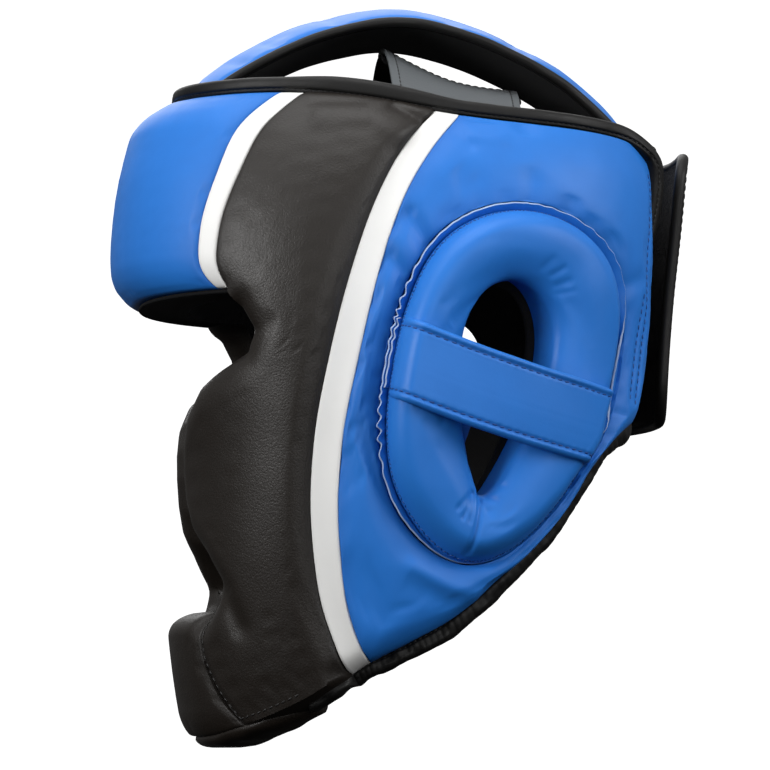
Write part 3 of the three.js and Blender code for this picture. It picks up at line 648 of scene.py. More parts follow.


# Leather: pebbled grain, soft mottling, painted shade that darkens the seams, and rougher there
def leatherFinish(name, look):
    finish = Finish(bpy.data.materials.new(name))
    where = finish.node("ShaderNodeTexCoord", {}, {}, "Object")
    seam = finish.node("ShaderNodeAttribute", {"attribute_name": "seam"}, {}, "Fac")
    mottle = finish.noise(where, look["mottleScale"], 3.0)
    patches = finish.noise(where, look["mottleScale"] * 0.22, 2.0)
    cells = {"Vector": where, "Scale": look["grainScale"], "Smoothness": 0.7}
    pebble = finish.node("ShaderNodeTexVoronoi", {"feature": "SMOOTH_F1"}, cells, "Distance")
    crease = finish.noise(where, look["grainScale"] * 0.55, 4.0, 0.6)
    # The seam attribute paints shade: the colour darkens towards seams, where shade falls
    tone = mottle * look["mottle"] + patches * look["patches"] + seam * look["paintedSeamShade"]
    colour = finish.mix(tone, look["colour"], look["shade"])
    rough = (mottle - 0.5) * look["roughSpread"] + (pebble * look["pebbleRough"] + look["roughness"])
    height = pebble * look["pebbleShare"] + crease * (1 - look["pebbleShare"])
    if look["cracks"]:
        shifted = {0: where, 1: finish.scatter(where, look)}
        bent = finish.node("ShaderNodeVectorMath", {"operation": "ADD"}, shifted)
        lines = {"Vector": bent, "Scale": look["crackScale"]}
        apart = finish.node("ShaderNodeTexVoronoi", {"feature": "DISTANCE_TO_EDGE"}, lines, "Distance")
        floorOf = {"Value": apart, "From Max": look["crackWidth"]}
        height = height + finish.node("ShaderNodeMapRange", {}, floorOf) * look["cracks"]
    bump = {"Strength": look["strength"], "Distance": look["relief"], "Height": height}
    normal = finish.node("ShaderNodeBump", {}, bump, "Normal")
    return finish.surface({
        "Base Color": colour, "Roughness": rough + seam * 0.15, "Normal": normal,
        "Specular IOR Level": look["specular"],
    })


# Woven tape, lining or loop pile, along the piece's own directions
def clothFinish(name, look):
    finish = Finish(bpy.data.materials.new(name))
    where = finish.node("ShaderNodeTexCoord", {}, {}, "Object")
    lay = finish.node("ShaderNodeAttribute", {"attribute_name": "lay"}, {}, "Vector")
    split = finish.node("ShaderNodeSeparateXYZ", {}, {"Vector": lay}, "X")
    other = finish.node("ShaderNodeSeparateXYZ", {}, {"Vector": lay}, "Y")
    turns = 2 * math.pi / look["thread"]
    warp = finish.node("ShaderNodeMath", {"operation": "SINE"}, {0: split * turns})
    weft = finish.node("ShaderNodeMath", {"operation": "SINE"}, {0: other * turns})
    fuzz = finish.noise(where, look["fuzzScale"], 5.0, 0.7)
    patches = finish.noise(where, look["fuzzScale"] * 0.03, 2.0)
    weave = warp * weft * (0.5 * look["weave"]) + fuzz * (1 - look["weave"])
    tone = fuzz * look["mottle"] + patches * look["patches"]
    bump = {"Strength": look["strength"], "Distance": look["relief"], "Height": weave}
    normal = finish.node("ShaderNodeBump", {}, bump, "Normal")
    return finish.surface({
        "Base Color": finish.mix(tone, look["colour"], look["shade"]),
        "Roughness": fuzz * 0.1 + look["roughness"], "Normal": normal,
        "Specular IOR Level": look["specular"], "Sheen Weight": look["sheen"],
        "Sheen Roughness": 0.5, "Sheen Tint": (0.6, 0.6, 0.62, 1),
    })


# Stitches: a tree that lays short threads along a path
def stitchTree():
    tree = bpy.data.node_groups.new("stitchRow", "GeometryNodeTree")
    sockets = {"Path": "Geometry", "Spacing": "Float", "Length": "Float", "Thickness": "Float",
               "Slant": "Float", "Zigzag": "Float", "Thread": "Material"}
    for name, kind in sockets.items():
        tree.interface.new_socket(name, in_out="INPUT", socket_type="NodeSocket" + kind)
    tree.interface.new_socket("Stitches", in_out="OUTPUT", socket_type="NodeSocketGeometry")

    def node(kind, settings, links):
        made = tree.nodes.new(kind)
        for name, setting in settings.items():
            setattr(made, name, setting)
        for name, value in links.items():
            if isinstance(value, bpy.types.NodeSocket):
                tree.links.new(value, made.inputs[name])
            else:
                made.inputs[name].default_value = value
        return made.outputs

    def maths(operation, *values):
        return node("ShaderNodeMath", {"operation": operation}, dict(enumerate(values)))[0]

    given = node("NodeGroupInput", {}, {})
    curve = node("GeometryNodeMeshToCurve", {}, {"Mesh": given["Path"]})[0]
    steps = {"Curve": curve, "Length": given["Spacing"]}
    dots = node("GeometryNodeResampleCurve", {"mode": "LENGTH"}, steps)[0]
    along = node("GeometryNodeInputTangent", {}, {})[0]
    upward = node("GeometryNodeInputNamedAttribute", {"data_type": "FLOAT_VECTOR"}, {"Name": "up"})[0]
    axes = {"primary_axis": "X", "secondary_axis": "Z"}
    flat = node("FunctionNodeAxesToRotation", axes, {"Primary Axis": along, "Secondary Axis": upward})[0]
    odd = maths("MODULO", node("GeometryNodeInputIndex", {}, {})[0], 2.0)
    change = maths("MULTIPLY_ADD", maths("MULTIPLY", odd, given["Zigzag"]), -2.0, 1.0)
    lean = {"Axis": (0, 0, 1), "Angle": maths("MULTIPLY", change, given["Slant"])}
    turned = {"Rotation": flat, "Rotate By": node("FunctionNodeAxisAngleToRotation", {}, lean)[0]}
    pose = node("FunctionNodeRotateRotation", {"rotation_space": "LOCAL"}, turned)[0]
    lengths = {"X": given["Length"], "Y": given["Thickness"], "Z": given["Thickness"]}
    size = node("ShaderNodeCombineXYZ", {}, lengths)[0]
    ball = node("GeometryNodeMeshUVSphere", {}, {"Segments": 6, "Rings": 5, "Radius": 0.5})["Mesh"]
    each = {"Points": dots, "Instance": ball, "Rotation": pose, "Scale": size}
    laid = node("GeometryNodeInstanceOnPoints", {}, each)[0]
    real = node("GeometryNodeRealizeInstances", {}, {"Geometry": laid})[0]
    smooth = node("GeometryNodeSetShadeSmooth", {}, {"Geometry": real})[0]
    done = node("GeometryNodeSetMaterial", {}, {"Geometry": smooth, "Material": given["Thread"]})[0]
    node("NodeGroupOutput", {}, {"Stitches": done})
    return tree


def sew(name, rows, look):
    points, ups, edges = [], [], []
    for line, upward in rows:
        first = len(points)
        points += (line * metre).tolist()
        ups.append(upward)
        edges += [[first + k, first + k + 1] for k in range(len(line) - 1)]
    data = bpy.data.meshes.new(name)
    data.from_pydata(points, edges, [])
    upward = np.concatenate(ups).astype(np.float32)
    data.attributes.new("up", "FLOAT_VECTOR", "POINT").data.foreach_set("vector", upward.ravel())
    piece = linked(name, data)
    modifier = piece.modifiers.new("stitches", "NODES")
    modifier.node_group = stitchRow
    values = {"Spacing": look["spacing"] * metre, "Length": look["length"] * metre,
              "Thickness": look["thick"] * metre, "Slant": look.get("slant", 4) * degree,
              "Zigzag": look.get("zigzag", 0.0), "Thread": finishes[look["thread"]]}
    for item in stitchRow.interface.items_tree:
        if item.in_out == "INPUT" and item.name in values:
            modifier[item.identifier] = values[item.name]
    settled = piece.evaluated_get(bpy.context.evaluated_depsgraph_get())
    made = bpy.data.meshes.new_from_object(settled)
    piece.modifiers.clear()
    piece.data = made
    bpy.data.meshes.remove(data)
    return dress(piece)


# Points set down on a finished piece, along the directions given
def seated(piece, points, outward, reach=25):
    vertices = [corner.co[:] for corner in piece.data.vertices]
    skin = BVHTree.FromPolygons(vertices, [face.vertices[:] for face in piece.data.polygons])
    found = points.copy()
    for k, (point, out) in enumerate(zip(points, outward)):
        start = Vector((point + out * reach) * metre)
        hit = skin.ray_cast(start, Vector(-out), 2 * reach * metre)[0]
        if hit is not None:
            found[k] = np.array(hit) / metre
    return found


def radialOut(angle):
    angle = np.asarray(angle, float) * degree
    return np.stack([np.sin(angle), -np.cos(angle), 0 * angle], -1)


# A row of stitches that lies on a piece, from spots above it
def sewnRow(piece, angle, z, radius, sign=1, proud=0.1):
    outward = radialOut(angle) * flip[sign]
    return seated(piece, place(angle, z, radius) * flip[sign], outward) + outward * proud, outward


# Points round a box on a flat piece, from its two far corners
def cornerSteps(low, high, count):
    corners = np.array([low, (high[0], low[1]), high, (low[0], high[1]), low])
    shares = np.linspace(0, 1, count, endpoint=False)[:, None]
    return np.concatenate([lerp(a, b, shares) for a, b in zip(corners[:-1], corners[1:])])


threadLook = {
    "mottleScale": 700.0, "mottle": 0.6, "patches": 0.2, "paintedSeamShade": 0.0, "grainScale": 4000.0,
    "pebbleShare": 0.3, "roughness": 0.5, "roughSpread": 0.1, "pebbleRough": 0.05, "relief": 0.00005,
    "strength": 0.6, "specular": 0.4, "cracks": 0.0,
}
leatherLooks = {
    "blueLeather": {
        "colour": (0.022, 0.188, 0.640, 1), "shade": (0.012, 0.118, 0.450, 1), "mottleScale": 90.0,
        "mottle": 0.35, "patches": 0.25, "paintedSeamShade": 0.55, "grainScale": 1500.0, "pebbleShare": 0.4,
        "roughness": 0.41, "roughSpread": 0.12, "pebbleRough": 0.05, "relief": 0.00006,
        "strength": 0.5, "specular": 0.27, "cracks": 0.0,
    },
    "blackLeather": {
        "colour": (0.0122, 0.0090, 0.0067, 1), "shade": (0.0070, 0.0052, 0.0039, 1),
        "mottleScale": 80.0, "mottle": 0.45, "patches": 0.3, "paintedSeamShade": 0.5, "grainScale": 1250.0,
        "pebbleShare": 0.7, "roughness": 0.40, "roughSpread": 0.10, "pebbleRough": 0.08,
        "relief": 0.00012, "strength": 0.7, "specular": 0.41, "cracks": 0.20, "crackScale": 540.0,
        "crackWidth": 0.12,
    },
    "whiteLeather": {
        "colour": (0.80, 0.80, 0.785, 1), "shade": (0.68, 0.675, 0.66, 1), "mottleScale": 110.0,
        "mottle": 0.25, "patches": 0.15, "paintedSeamShade": 0.3, "grainScale": 1500.0, "pebbleShare": 0.4,
        "roughness": 0.42, "roughSpread": 0.1, "pebbleRough": 0.05, "relief": 0.00005,
        "strength": 0.4, "specular": 0.4, "cracks": 0.0,
    },
    "bindingTape": {
        "colour": (0.0075, 0.0072, 0.0070, 1), "shade": (0.0035, 0.0034, 0.0033, 1),
        "mottleScale": 160.0, "mottle": 0.5, "patches": 0.3, "paintedSeamShade": 0.5, "grainScale": 1300.0,
        "pebbleShare": 0.35, "roughness": 0.45, "roughSpread": 0.18, "pebbleRough": 0.1,
        "relief": 0.00012, "strength": 0.6, "specular": 0.27, "cracks": 0.0,
    },
    # Cut edge: paler than the leather face, and lighter still as a painted highlight
    "rawEdgeAndHighlight": {
        "colour": (0.42, 0.52, 0.68, 1), "shade": (0.20, 0.30, 0.52, 1), "mottleScale": 300.0,
        "mottle": 0.7, "patches": 0.3, "paintedSeamShade": 0.0, "grainScale": 1800.0, "pebbleShare": 0.4,
        "roughness": 0.7, "roughSpread": 0.1, "pebbleRough": 0.05, "relief": 0.00008,
        "strength": 0.6, "specular": 0.25, "cracks": 0.0,
    },
    "darkThread": {
        **threadLook, "colour": (0.012, 0.075, 0.30, 1), "shade": (0.006, 0.035, 0.16, 1),
    },
    "blackThread": {
        **threadLook, "colour": (0.022, 0.021, 0.021, 1), "shade": (0.010, 0.010, 0.010, 1),
    },
}
clothLooks = {
    "innerLining": {
        "colour": (0.009, 0.009, 0.0095, 1), "shade": (0.004, 0.004, 0.0045, 1), "thread": 0.0016,
        "fuzzScale": 900.0, "weave": 0.5, "mottle": 0.5, "patches": 0.3, "relief": 0.0003,
        "strength": 0.6, "roughness": 0.8, "specular": 0.12, "sheen": 0.03,
    },
    "loopPile": {
        "colour": (0.010, 0.010, 0.011, 1), "shade": (0.003, 0.003, 0.0035, 1), "thread": 0.0022,
        "fuzzScale": 1100.0, "weave": 0.15, "mottle": 0.7, "patches": 0.2, "relief": 0.0009,
        "strength": 0.9, "roughness": 0.9, "specular": 0.08, "sheen": 0.06,
    },
    "flapCloth": {
        "colour": (0.020, 0.019, 0.0195, 1), "shade": (0.010, 0.010, 0.010, 1), "thread": 0.0011,
        "fuzzScale": 1000.0, "weave": 0.6, "mottle": 0.5, "patches": 0.3, "relief": 0.0003,
        "strength": 0.6, "roughness": 0.62, "specular": 0.35, "sheen": 0.1,
    },
    "hookTape": {
        "colour": (0.115, 0.126, 0.134, 1), "shade": (0.080, 0.088, 0.094, 1), "thread": 0.0012,
        "fuzzScale": 1200.0, "weave": 0.6, "mottle": 0.6, "patches": 0.3, "relief": 0.0002,
        "strength": 0.5, "roughness": 0.6, "specular": 0.3, "sheen": 0.05,
    },
}
finishes = {name: leatherFinish(name, look) for name, look in leatherLooks.items()}
finishes.update({name: clothFinish(name, look) for name, look in clothLooks.items()})
stitchRow = stitchTree()
print("finishes made:", len(finishes))

# Brow pad between the two brow stripes
brow = {
    "across": 170, "up": 84, "stripeTop": -31.6, "seamDepth": 0.9, "seamWidth": 2.4, "ripple": 0.3,
    "rippleSize": 34, "seed": 3, "full": 2.2, "fullUp": (-36, 11), "even": 0.8, "fullAcross": (0, 38),
    "cap": 0.6, "spare": 0.002,
}


def browEdge(z):
    return browSeamAngle(z) - browSeamHalf(z) - form["seamGap"]


shares = crowded(brow["up"])
edge = browEdge(lerp(form["hem"], brow["stripeTop"], shares))
angle = edge[:, None] * (crowded(brow["across"]) * 2 - 1)
z = lerp(form["hem"], padTop(angle), shares[:, None])
toSeam = lineDistance(uprightLine(browEdge, form["hem"], brow["stripeTop"], 40), mapSpot(angle, z))
swell = ripples(angle * 1.7 + 200, z, brow)
fullness = brow["full"] * bell(z, *brow["fullUp"]) + brow["even"]
swell = swell + fullness * bell(angle, *brow["fullAcross"])
outer = headRadius(angle, z) + padDepth(angle, z) + swell - seamRoll(toSeam, brow)
browInner = place(angle, z, headRadius(angle, z))
browMesh = padMesh(puffed(place(angle, z, outer), browInner, brow), browInner)
# Painted shade: the leather darkens within a few millimetres of the brow seams
makePiece("brow_pad", browMesh, ["blueLeather"], np.exp(-toSeam / 3))
print("brow pad done")

# Lining behind the brow pad, turned out under its lower edge
lining = {"end": 45, "across": 91, "up": 24, "under": 14, "hemLift": 1.2}
angle = np.linspace(-lining["end"], lining["end"], lining["across"])[:, None]
wallZ = lerp(padTop(angle), form["hem"], np.linspace(0, 1, lining["up"]))
wallIn = headRadius(angle, wallZ) - form["clearance"]
foot = form["hem"] - form["clearance"]
hemOut = headRadius(angle, form["hem"]) + padDepth(angle, angle * 0 + form["hem"])
hemOut = hemOut - form["clearance"]
underShare = np.linspace(0, 1, lining["under"] + 1)[1:]
underR = lerp(wallIn[:, -1:], hemOut, underShare)
underZ = foot + lining["hemLift"] * np.sin(np.pi * underShare) + 0 * underR
deep = np.concatenate([wallIn, underR], 1)
deepZ = np.concatenate([wallZ, underZ], 1)
showR = np.concatenate([wallIn - form["liningWall"], underR], 1)
showZ = np.concatenate([wallZ, underZ - form["liningWall"]], 1)
showZ[:, lining["up"] - 1] = foot - form["liningWall"]
liningMesh = padMesh(place(angle, showZ, showR), place(angle, deepZ, deep), puff=0.5)
makePiece("brow_lining", liningMesh, ["innerLining"], lay=mapSpot(angle + 90, showZ))

# White stripes, flush between the pads that they join
stripe = {"along": 140, "across": 18, "seamDepth": 0.55, "seamWidth": 1.3}


def stripeGrid(angleAt, halfAt, foot, top):
    lines = []
    for side in np.linspace(-1, 1, stripe["across"]):
        def edge(z):
            return angleAt(z) + side * halfAt(z)
        low = meeting(foot[0], edge, foot[1])
        high = meeting(top[0], edge, top[1])
        heights = lerp(low, high, crowded(stripe["along"], 0.4))
        lines.append(np.stack([edge(heights), heights], -1))
    return np.stack(lines, 1)


stripeRuns = {
    "brow": (browSeamAngle, browSeamHalf, (form["hem"], lambda a: form["hem"]),
             (brow["stripeTop"], padTop)),
    "side": (sideSeamAngle, sideSeamHalf, (form["sideFoot"], lowerHeight), (form["sideTop"], padTop)),
}
for run, (angleAt, halfAt, foot, top) in stripeRuns.items():
    spots = stripeGrid(angleAt, halfAt, foot, top)
    angle, z = spots[..., 0], spots[..., 1]
    toSeam = np.abs(np.abs(angle - angleAt(z)) - halfAt(z)) * degree * form["mapRadius"]
    outer = place(angle, z, headRadius(angle, z) + padDepth(angle, z) - seamRoll(toSeam, stripe))
    inner = place(angle, z, headRadius(angle, z))
    for sideName, sideNode, sign in sides:
        stripeMesh = padMesh(outer * flip[sign], inner * flip[sign], puff=0)
        coats = ["whiteLeather", "innerLining"]
        # Painted shade: the white leather darkens right beside its seams
        makePiece(run + "_stripe_" + sideNode, stripeMesh, coats, seam=np.exp(-toSeam / 0.8))
print("stripes done")

# Cheek pads, from the chin seam and the face edge to the side stripe
cheek = {
    "along": 180, "across": 84, "seamDepth": 0.9, "seamWidth": 2.4, "ripple": 0.25, "rippleSize": 26,
    "seed": 11, "blend": 26, "crest": 2.3, "crestAt": 13, "crestEnd": 62, "cap": 0.25, "spare": 0.001,
    "puff": 2.4, "folds": [
        ([(39, -232), (43, -245)], 5, -1.3),
        ([(64, -42.5), (78, -43.5), (85, -51)], 5, 1.4),
        ([(83, -38.5), (92, -45.5)], 2.2, -1.8),
        ([(60, -37), (75, -37)], 2.0, -0.7),
    ],
}


def cheekEdge(z):
    return sideSeamAngle(z) - sideSeamHalf(z) - form["seamGap"]


def stripeEdge(z):
    return browSeamAngle(z) + browSeamHalf(z) + form["seamGap"]


def chinSide(z):
    return chinSeamAngle(z) + 2 * form["seamGap"]


stripeZ = np.array(cheekRows["stripeZ"])
rowAngle = np.concatenate([cheekRows["angle"], stripeEdge(stripeZ)])
rowZ = np.concatenate([cheekRows["z"], stripeZ])
stripeShare = (stripeZ - stripeZ[0]) / (stripeZ[-1] - stripeZ[0])
rowRear = np.concatenate([cheekRows["rearZ"], lerp(*cheekRows["stripeRear"], stripeShare)])
rowAngle[:cheekRows["chinRows"]] += 2 * form["seamGap"]
rowSpots = mapSpot(rowAngle, rowZ)
rowPath = np.concatenate([[0], np.cumsum(np.linalg.norm(np.diff(rowSpots, axis=0), axis=1))])
path = lerp(0, rowPath[-1], crowded(cheek["along"], 0.3))
frontAngle = fineCurve(rowPath, rowAngle, 2.2)(path)
frontZ = fineCurve(rowPath, rowZ, 2.2)(path)
rearZ = fineCurve(rowPath, rowRear, 4)(path)
onStripe = smoothStep(frontZ, form["hem"] - 2, form["hem"] + 4)
frontAngle = lerp(frontAngle, stripeEdge(frontZ), onStripe)
acrossShare = crowded(cheek["across"])
cheekAngle = lerp(frontAngle[:, None], cheekEdge(rearZ)[:, None], acrossShare)
cheekZ = lerp(frontZ[:, None], rearZ[:, None], acrossShare)
lowFix = lowerHeight(cheekAngle[0]) - cheekZ[0]
topFix = padTop(cheekAngle[-1]) - cheekZ[-1]
cheekZ = cheekZ + lowFix * (1 - smoothStep(path, 0, cheek["blend"]))[:, None]
cheekZ = cheekZ + topFix * smoothStep(path, path[-1] - cheek["blend"], path[-1])[:, None]
cheekSpots = mapSpot(cheekAngle, cheekZ)
seamLines = [
    uprightLine(cheekEdge, form["sideSeam"][0][0], form["sideSeam"][0][-1], 60),
    uprightLine(stripeEdge, form["hem"], brow["stripeTop"], 30),
    uprightLine(chinSide, chinFoot, form["chinTop"], 20),
]
toSeam = np.min([lineDistance(line, cheekSpots) for line in seamLines], axis=0)
toStripe = lineDistance(seamLines[0], cheekSpots)
crestRise = np.clip(toStripe / cheek["crestAt"], 0, 1)
crestFall = smoothStep(toStripe, cheek["crestAt"], cheek["crestEnd"])
crestRise = np.sqrt(crestRise * (2 - crestRise)) * (1 - crestFall)
cheekBase = headRadius(cheekAngle, cheekZ)
cheekDepth = padDepth(cheekAngle, cheekZ) - seamRoll(toSeam, cheek)
cheekDepth += foldHeight(cheekSpots, cheek["folds"]) + cheek["crest"] * crestRise
cheekPads = {}
for sideName, sideNode, sign in sides:
    swell = ripples(cheekSpots[..., 0], cheekZ, cheek, sign)
    outer = place(cheekAngle, cheekZ, cheekBase + cheekDepth + swell) * flip[sign]
    inner = place(cheekAngle, cheekZ, cheekBase) * flip[sign]
    cheekMesh = padMesh(puffed(outer, inner, cheek), inner, puff=cheek["puff"])
    coats = ["blackLeather", "innerLining"]
    # Painted shade: darker within a few millimetres of the side, stripe and chin seams
    cheekPads[sign] = makePiece("cheek_pad_" + sideNode, cheekMesh, coats, np.exp(-toSeam / 3))
print("cheek pads done")

# Rear pads: rings round the ear pad, out to the stripe, rim, back edge and lower edge
rear = {
    "directions": 270, "shares": 46, "rings": 4, "seamDepth": 0.9, "seamWidth": 2.4, "ripple": 0.4,
    "rippleSize": 24, "seed": 21, "bend": 143.5, "cap": 0.8, "spare": 0.006, "rowGroove": (1.3, -0.7),
    "rows": [
        [(153.6, -62), (152.4, -75), (150.4, -93), (149.4, -117), (147.7, -146), (146.4, -155)],
        [(148.2, -112), (147.0, -126), (146.0, -140), (144.6, -153)],
    ],
    "stitch": {"spacing": 3.0, "length": 2.2, "thick": 0.65, "slant": 5, "thread": "darkThread"},
    "folds": [
        ([(91.5, -95), (87.5, -85)], 3.4, -2.4),
        ([(86.5, -110), (82.8, -101.5)], 3.2, -1.5),
        ([(88.8, -102.5), (84.5, -93)], 3.4, 0.7),
        ([(88.6, -221.7), (96.9, -229), (105.9, -233.6)], 3.4, 1.4),
        ([(139, -111), (146, -106)], 3.2, -0.8),
        ([(84, -170), (80, -176)], 4.0, -0.7),
        ([(104, -51), (112, -53)], 3.0, 0.8),
        ([(100, -49), (104, -56)], 2.4, -0.8),
    ],
}
lowerBend = mapSpot(rear["bend"], lowerHeight(rear["bend"]))
corners = np.array([rearFront[0], rearTop[0], rearBack[0], rearBack[-1], lowerBend])
cornerGap = corners - mapSpot(ear["angle"], ear["z"])
cornerTurn = np.mod(np.arctan2(cornerGap[:, 0], cornerGap[:, 1]) / degree - ear["lean"], 360)
even = np.arange(rear["directions"]) * 360 / rear["directions"]
apart = np.min(np.abs(even[:, None] - cornerTurn), axis=1) > 0.5
ringTurns = np.sort(np.concatenate([even[apart], cornerTurn]))
nearReach = earReach(ringTurns) + ear["gap"]
farReach = np.maximum(borderReach(ringTurns), nearReach + ear["rearLeast"])
rearShare = crowded(rear["shares"])
rearReach = lerp(nearReach[:, None], farReach[:, None], rearShare)
rearAngle, rearZGrid = earSpot(ringTurns[:, None], rearReach)
rearSpots = mapSpot(rearAngle, rearZGrid)
toSeam = lineDistance(rearFront, rearSpots)
toEar = lineDistance(earLine, rearSpots)
rearBase = headRadius(rearAngle, rearZGrid)
rearDepth = padDepth(rearAngle, rearZGrid) - seamRoll(toSeam, rear)
rearDepth += foldHeight(rearSpots, rear["folds"] + [(row, *rear["rowGroove"]) for row in rear["rows"]])
bound = (ringTurns >= cornerTurn[1]) | (ringTurns < cornerTurn[3])    # at the rim and the back
wallRows = rear["rings"] + 1
# Painted shade: darker beside the side seam and round the ear pad
seamShadeMask = np.exp(-np.minimum(toSeam, toEar) / 3)
rearPads = {}
for sideName, sideNode, sign in sides:
    swell = ripples(rearSpots[..., 0], rearZGrid, rear, sign)
    outer = place(rearAngle, rearZGrid, rearBase + rearDepth + swell) * flip[sign]
    inner = place(rearAngle, rearZGrid, rearBase) * flip[sign]
    rearMesh = padMesh(puffed(outer, inner, rear, loop=True), inner, True, rear["rings"], 0.3)
    rearMesh[2][-wallRows * len(ringTurns):].reshape(wallRows, -1)[:, bound] = 1
    coats = ["blueLeather", "innerLining"]
    rearPads[sign] = makePiece("rear_pad_" + sideNode, rearMesh, coats, seamShadeMask)

# Lining behind rear and ear pad, open at the ear hole
rearLining = {"directions": 160, "shares": 12}
turns = np.arange(rearLining["directions"]) * 360 / rearLining["directions"]
farReach = np.maximum(borderReach(turns), earReach(turns) + ear["gap"] + ear["rearLeast"])
reach = lerp(holeReach(turns)[:, None], farReach[:, None], np.linspace(0, 1, rearLining["shares"]))
angle, z = earSpot(turns[:, None], reach)
show = place(angle, z, headRadius(angle, z) - form["clearance"] - form["liningWall"])
deep = place(angle, z, headRadius(angle, z) - form["clearance"])
for sideName, sideNode, sign in sides:
    liningMesh = padMesh(show * flip[sign], deep * flip[sign], loop=True, puff=0.4)
    makePiece("rear_lining_" + sideNode, liningMesh, ["innerLining"], lay=mapSpot(angle, z))

# Sewn rows beside the back edge
for sideName, sideNode, sign in sides:
    rows = []
    for row in rear["rows"]:
        corners = np.array(row)[::-1]
        rowZ = np.linspace(corners[0, 1], corners[-1, 1], 60)
        rowAngle = fineCurve(corners[:, 1], corners[:, 0])(rowZ)
        rows.append(sewnRow(rearPads[sign], rowAngle, rowZ, outerRadius(rowAngle, rowZ), sign))
    sew("rearStitches" + sideName, rows, rear["stitch"])
print("rear pads done")

# Ear pads: fat rings from the seam over a crest into the ear hole
earPad = {
    "directions": 420, "shares": 54, "backShares": 10, "backMouth": 0.9, "ripple": 0.45,
    "rippleSize": 15, "seed": 31, "cap": 0.5, "spare": 0.004, "joinTurn": 183, "joinDepth": 1.5,
    "joinWidth": 1.0, "joinFrom": (0.02, 0.2), "folds": [
        ([(102.0, -193), (98.3, -199.5)], 0.9, -0.9),
        ([(102.3, -193.5), (99.3, -203)], 0.9, -0.9),
        ([(102.6, -193.5), (101.0, -204.5)], 0.8, -0.7),
        ([(104.0, -193), (107.4, -196.2)], 1.0, -1.1),
        ([(104.2, -191.5), (109.3, -190.4)], 1.1, -0.9),
        ([(103.6, -194), (105.6, -200.5)], 0.9, -0.6),
        ([(117.2, -104.6), (118.6, -101.6)], 1.5, -0.4),
        ([(119.2, -107.6), (121.2, -104.9)], 1.1, -0.45),
        ([(120.6, -111.6), (122.6, -110.0)], 1.4, -0.5),
        ([(121.0, -114.6), (123.8, -113.8)], 1.0, -0.3),
        ([(96, -160), (94.5, -166)], 1.6, -0.5),
    ],
}


def quarter(t):    # rise of a rounded edge from 0 to 1
    return (1 - (1 - np.clip(t, 0, 1)) ** ear["fullness"]) ** (1 / ear["fullness"])


def earHeight(direction, share):
    turn = np.mod(direction, 360)
    crest = earCrest(turn)
    top = crest * lerp(1, ear["innerShare"], smoothStep(share, ear["crestAt"], 1))
    base = lerp(earSeam(turn), ear["mouth"], share)
    gentle = np.sin(np.pi / 2 * np.clip(share / ear["crestAt"], 0, 1))
    rise = lerp(gentle, quarter(share / ear["crestAt"]), smoothStep(crest, *ear["steepFrom"]))
    return base + (top - base) * rise * quarter((1 - share) / ear["holeRound"])


def seamWidth(direction):    # room for the sewn flange round the pad, none beside the lower binding
    turn = np.mod(direction, 360)
    width = ear["inset"] + ear["rearInset"] * bell(turn, *ear["rearSpan"])
    least = ear["leastInset"]
    shut = smoothStep(turn, *ear["shuts"]) * (1 - smoothStep(turn, *ear["opens"]))
    return least + (width - least) * (1 - shut)


def padReach(direction):
    return earReach(direction) - seamWidth(direction)


turns = np.arange(earPad["directions"])[:, None] * 360 / earPad["directions"]
share = crowded(earPad["shares"], 0.85)
far, near = padReach(turns), holeReach(turns)
angle, z = earSpot(turns, lerp(far, near, share))
backShare = np.linspace(earPad["backMouth"], 0, earPad["backShares"])
backAngleGrid, backZGrid = earSpot(turns, lerp(far, near, backShare))
back = place(backAngleGrid, backZGrid, headRadius(backAngleGrid, backZGrid))
fromJoin = (turns - earPad["joinTurn"]) * degree * lerp(far, near, share)
joinDip = earPad["joinDepth"] * bell(fromJoin, 0, earPad["joinWidth"])
joinDip = joinDip * smoothStep(share, *earPad["joinFrom"])
earSpots = mapSpot(angle, z)
earBase = outerRadius(angle, z) + earHeight(turns, share) - joinDip
earBase = earBase + foldHeight(earSpots, earPad["folds"])
for sideName, sideNode, sign in sides:
    swell = ripples(earSpots[..., 0], z, earPad, sign)
    wall = place(angle, z, headRadius(angle, z)) * flip[sign]
    front = puffed(place(angle, z, earBase + swell) * flip[sign], wall, earPad, loop=True)
    earMesh = rollMesh(np.concatenate([front, back * flip[sign]], 1), loop=True)
    makePiece("ear_pad_" + sideNode, earMesh, ["blueLeather"])

# Sewn flange that stands up round the ear pad, with its cut edge showing: a pale edge with a painted
# highlight on it
flange = {
    "directions": 560, "rows": 7, "foot": 0.5, "top": -1.2, "lowTop": -6.4, "wall": 0.8, "least": 0.7,
    "inside": 0.4, "short": 0.5, "lean": 1.4, "curl": 0.8, "seed": 35, "calm": 0.08, "waves": 60,
    "ruffles": [(240, 13, 0.85), (297, 17, 0.6), (25, 20, 0.15)], "uneven": 3.0, "unevenSize": 9,
    "waveUp": 0.4, "strapEnd": (258, 292), "strapSteps": 60, "strapStep": 1.3, "strapRise": 0.5,
    "rearUp": -2.3, "rearFoot": 5.2, "rearLean": 4.5, "sewAt": 0.026, "sewProud": 0.15,
    "stitch": {"spacing": 1.6, "length": 2.0, "thick": 0.75, "slant": 48, "zigzag": 1.0,
               "thread": "darkThread"},
}


def padEdge(turns, share):    # points on the ear pad's outer wall
    angle, z = earSpot(turns, lerp(padReach(turns), holeReach(turns), share))
    return place(angle, z, outerRadius(angle, z) + earHeight(turns, share))


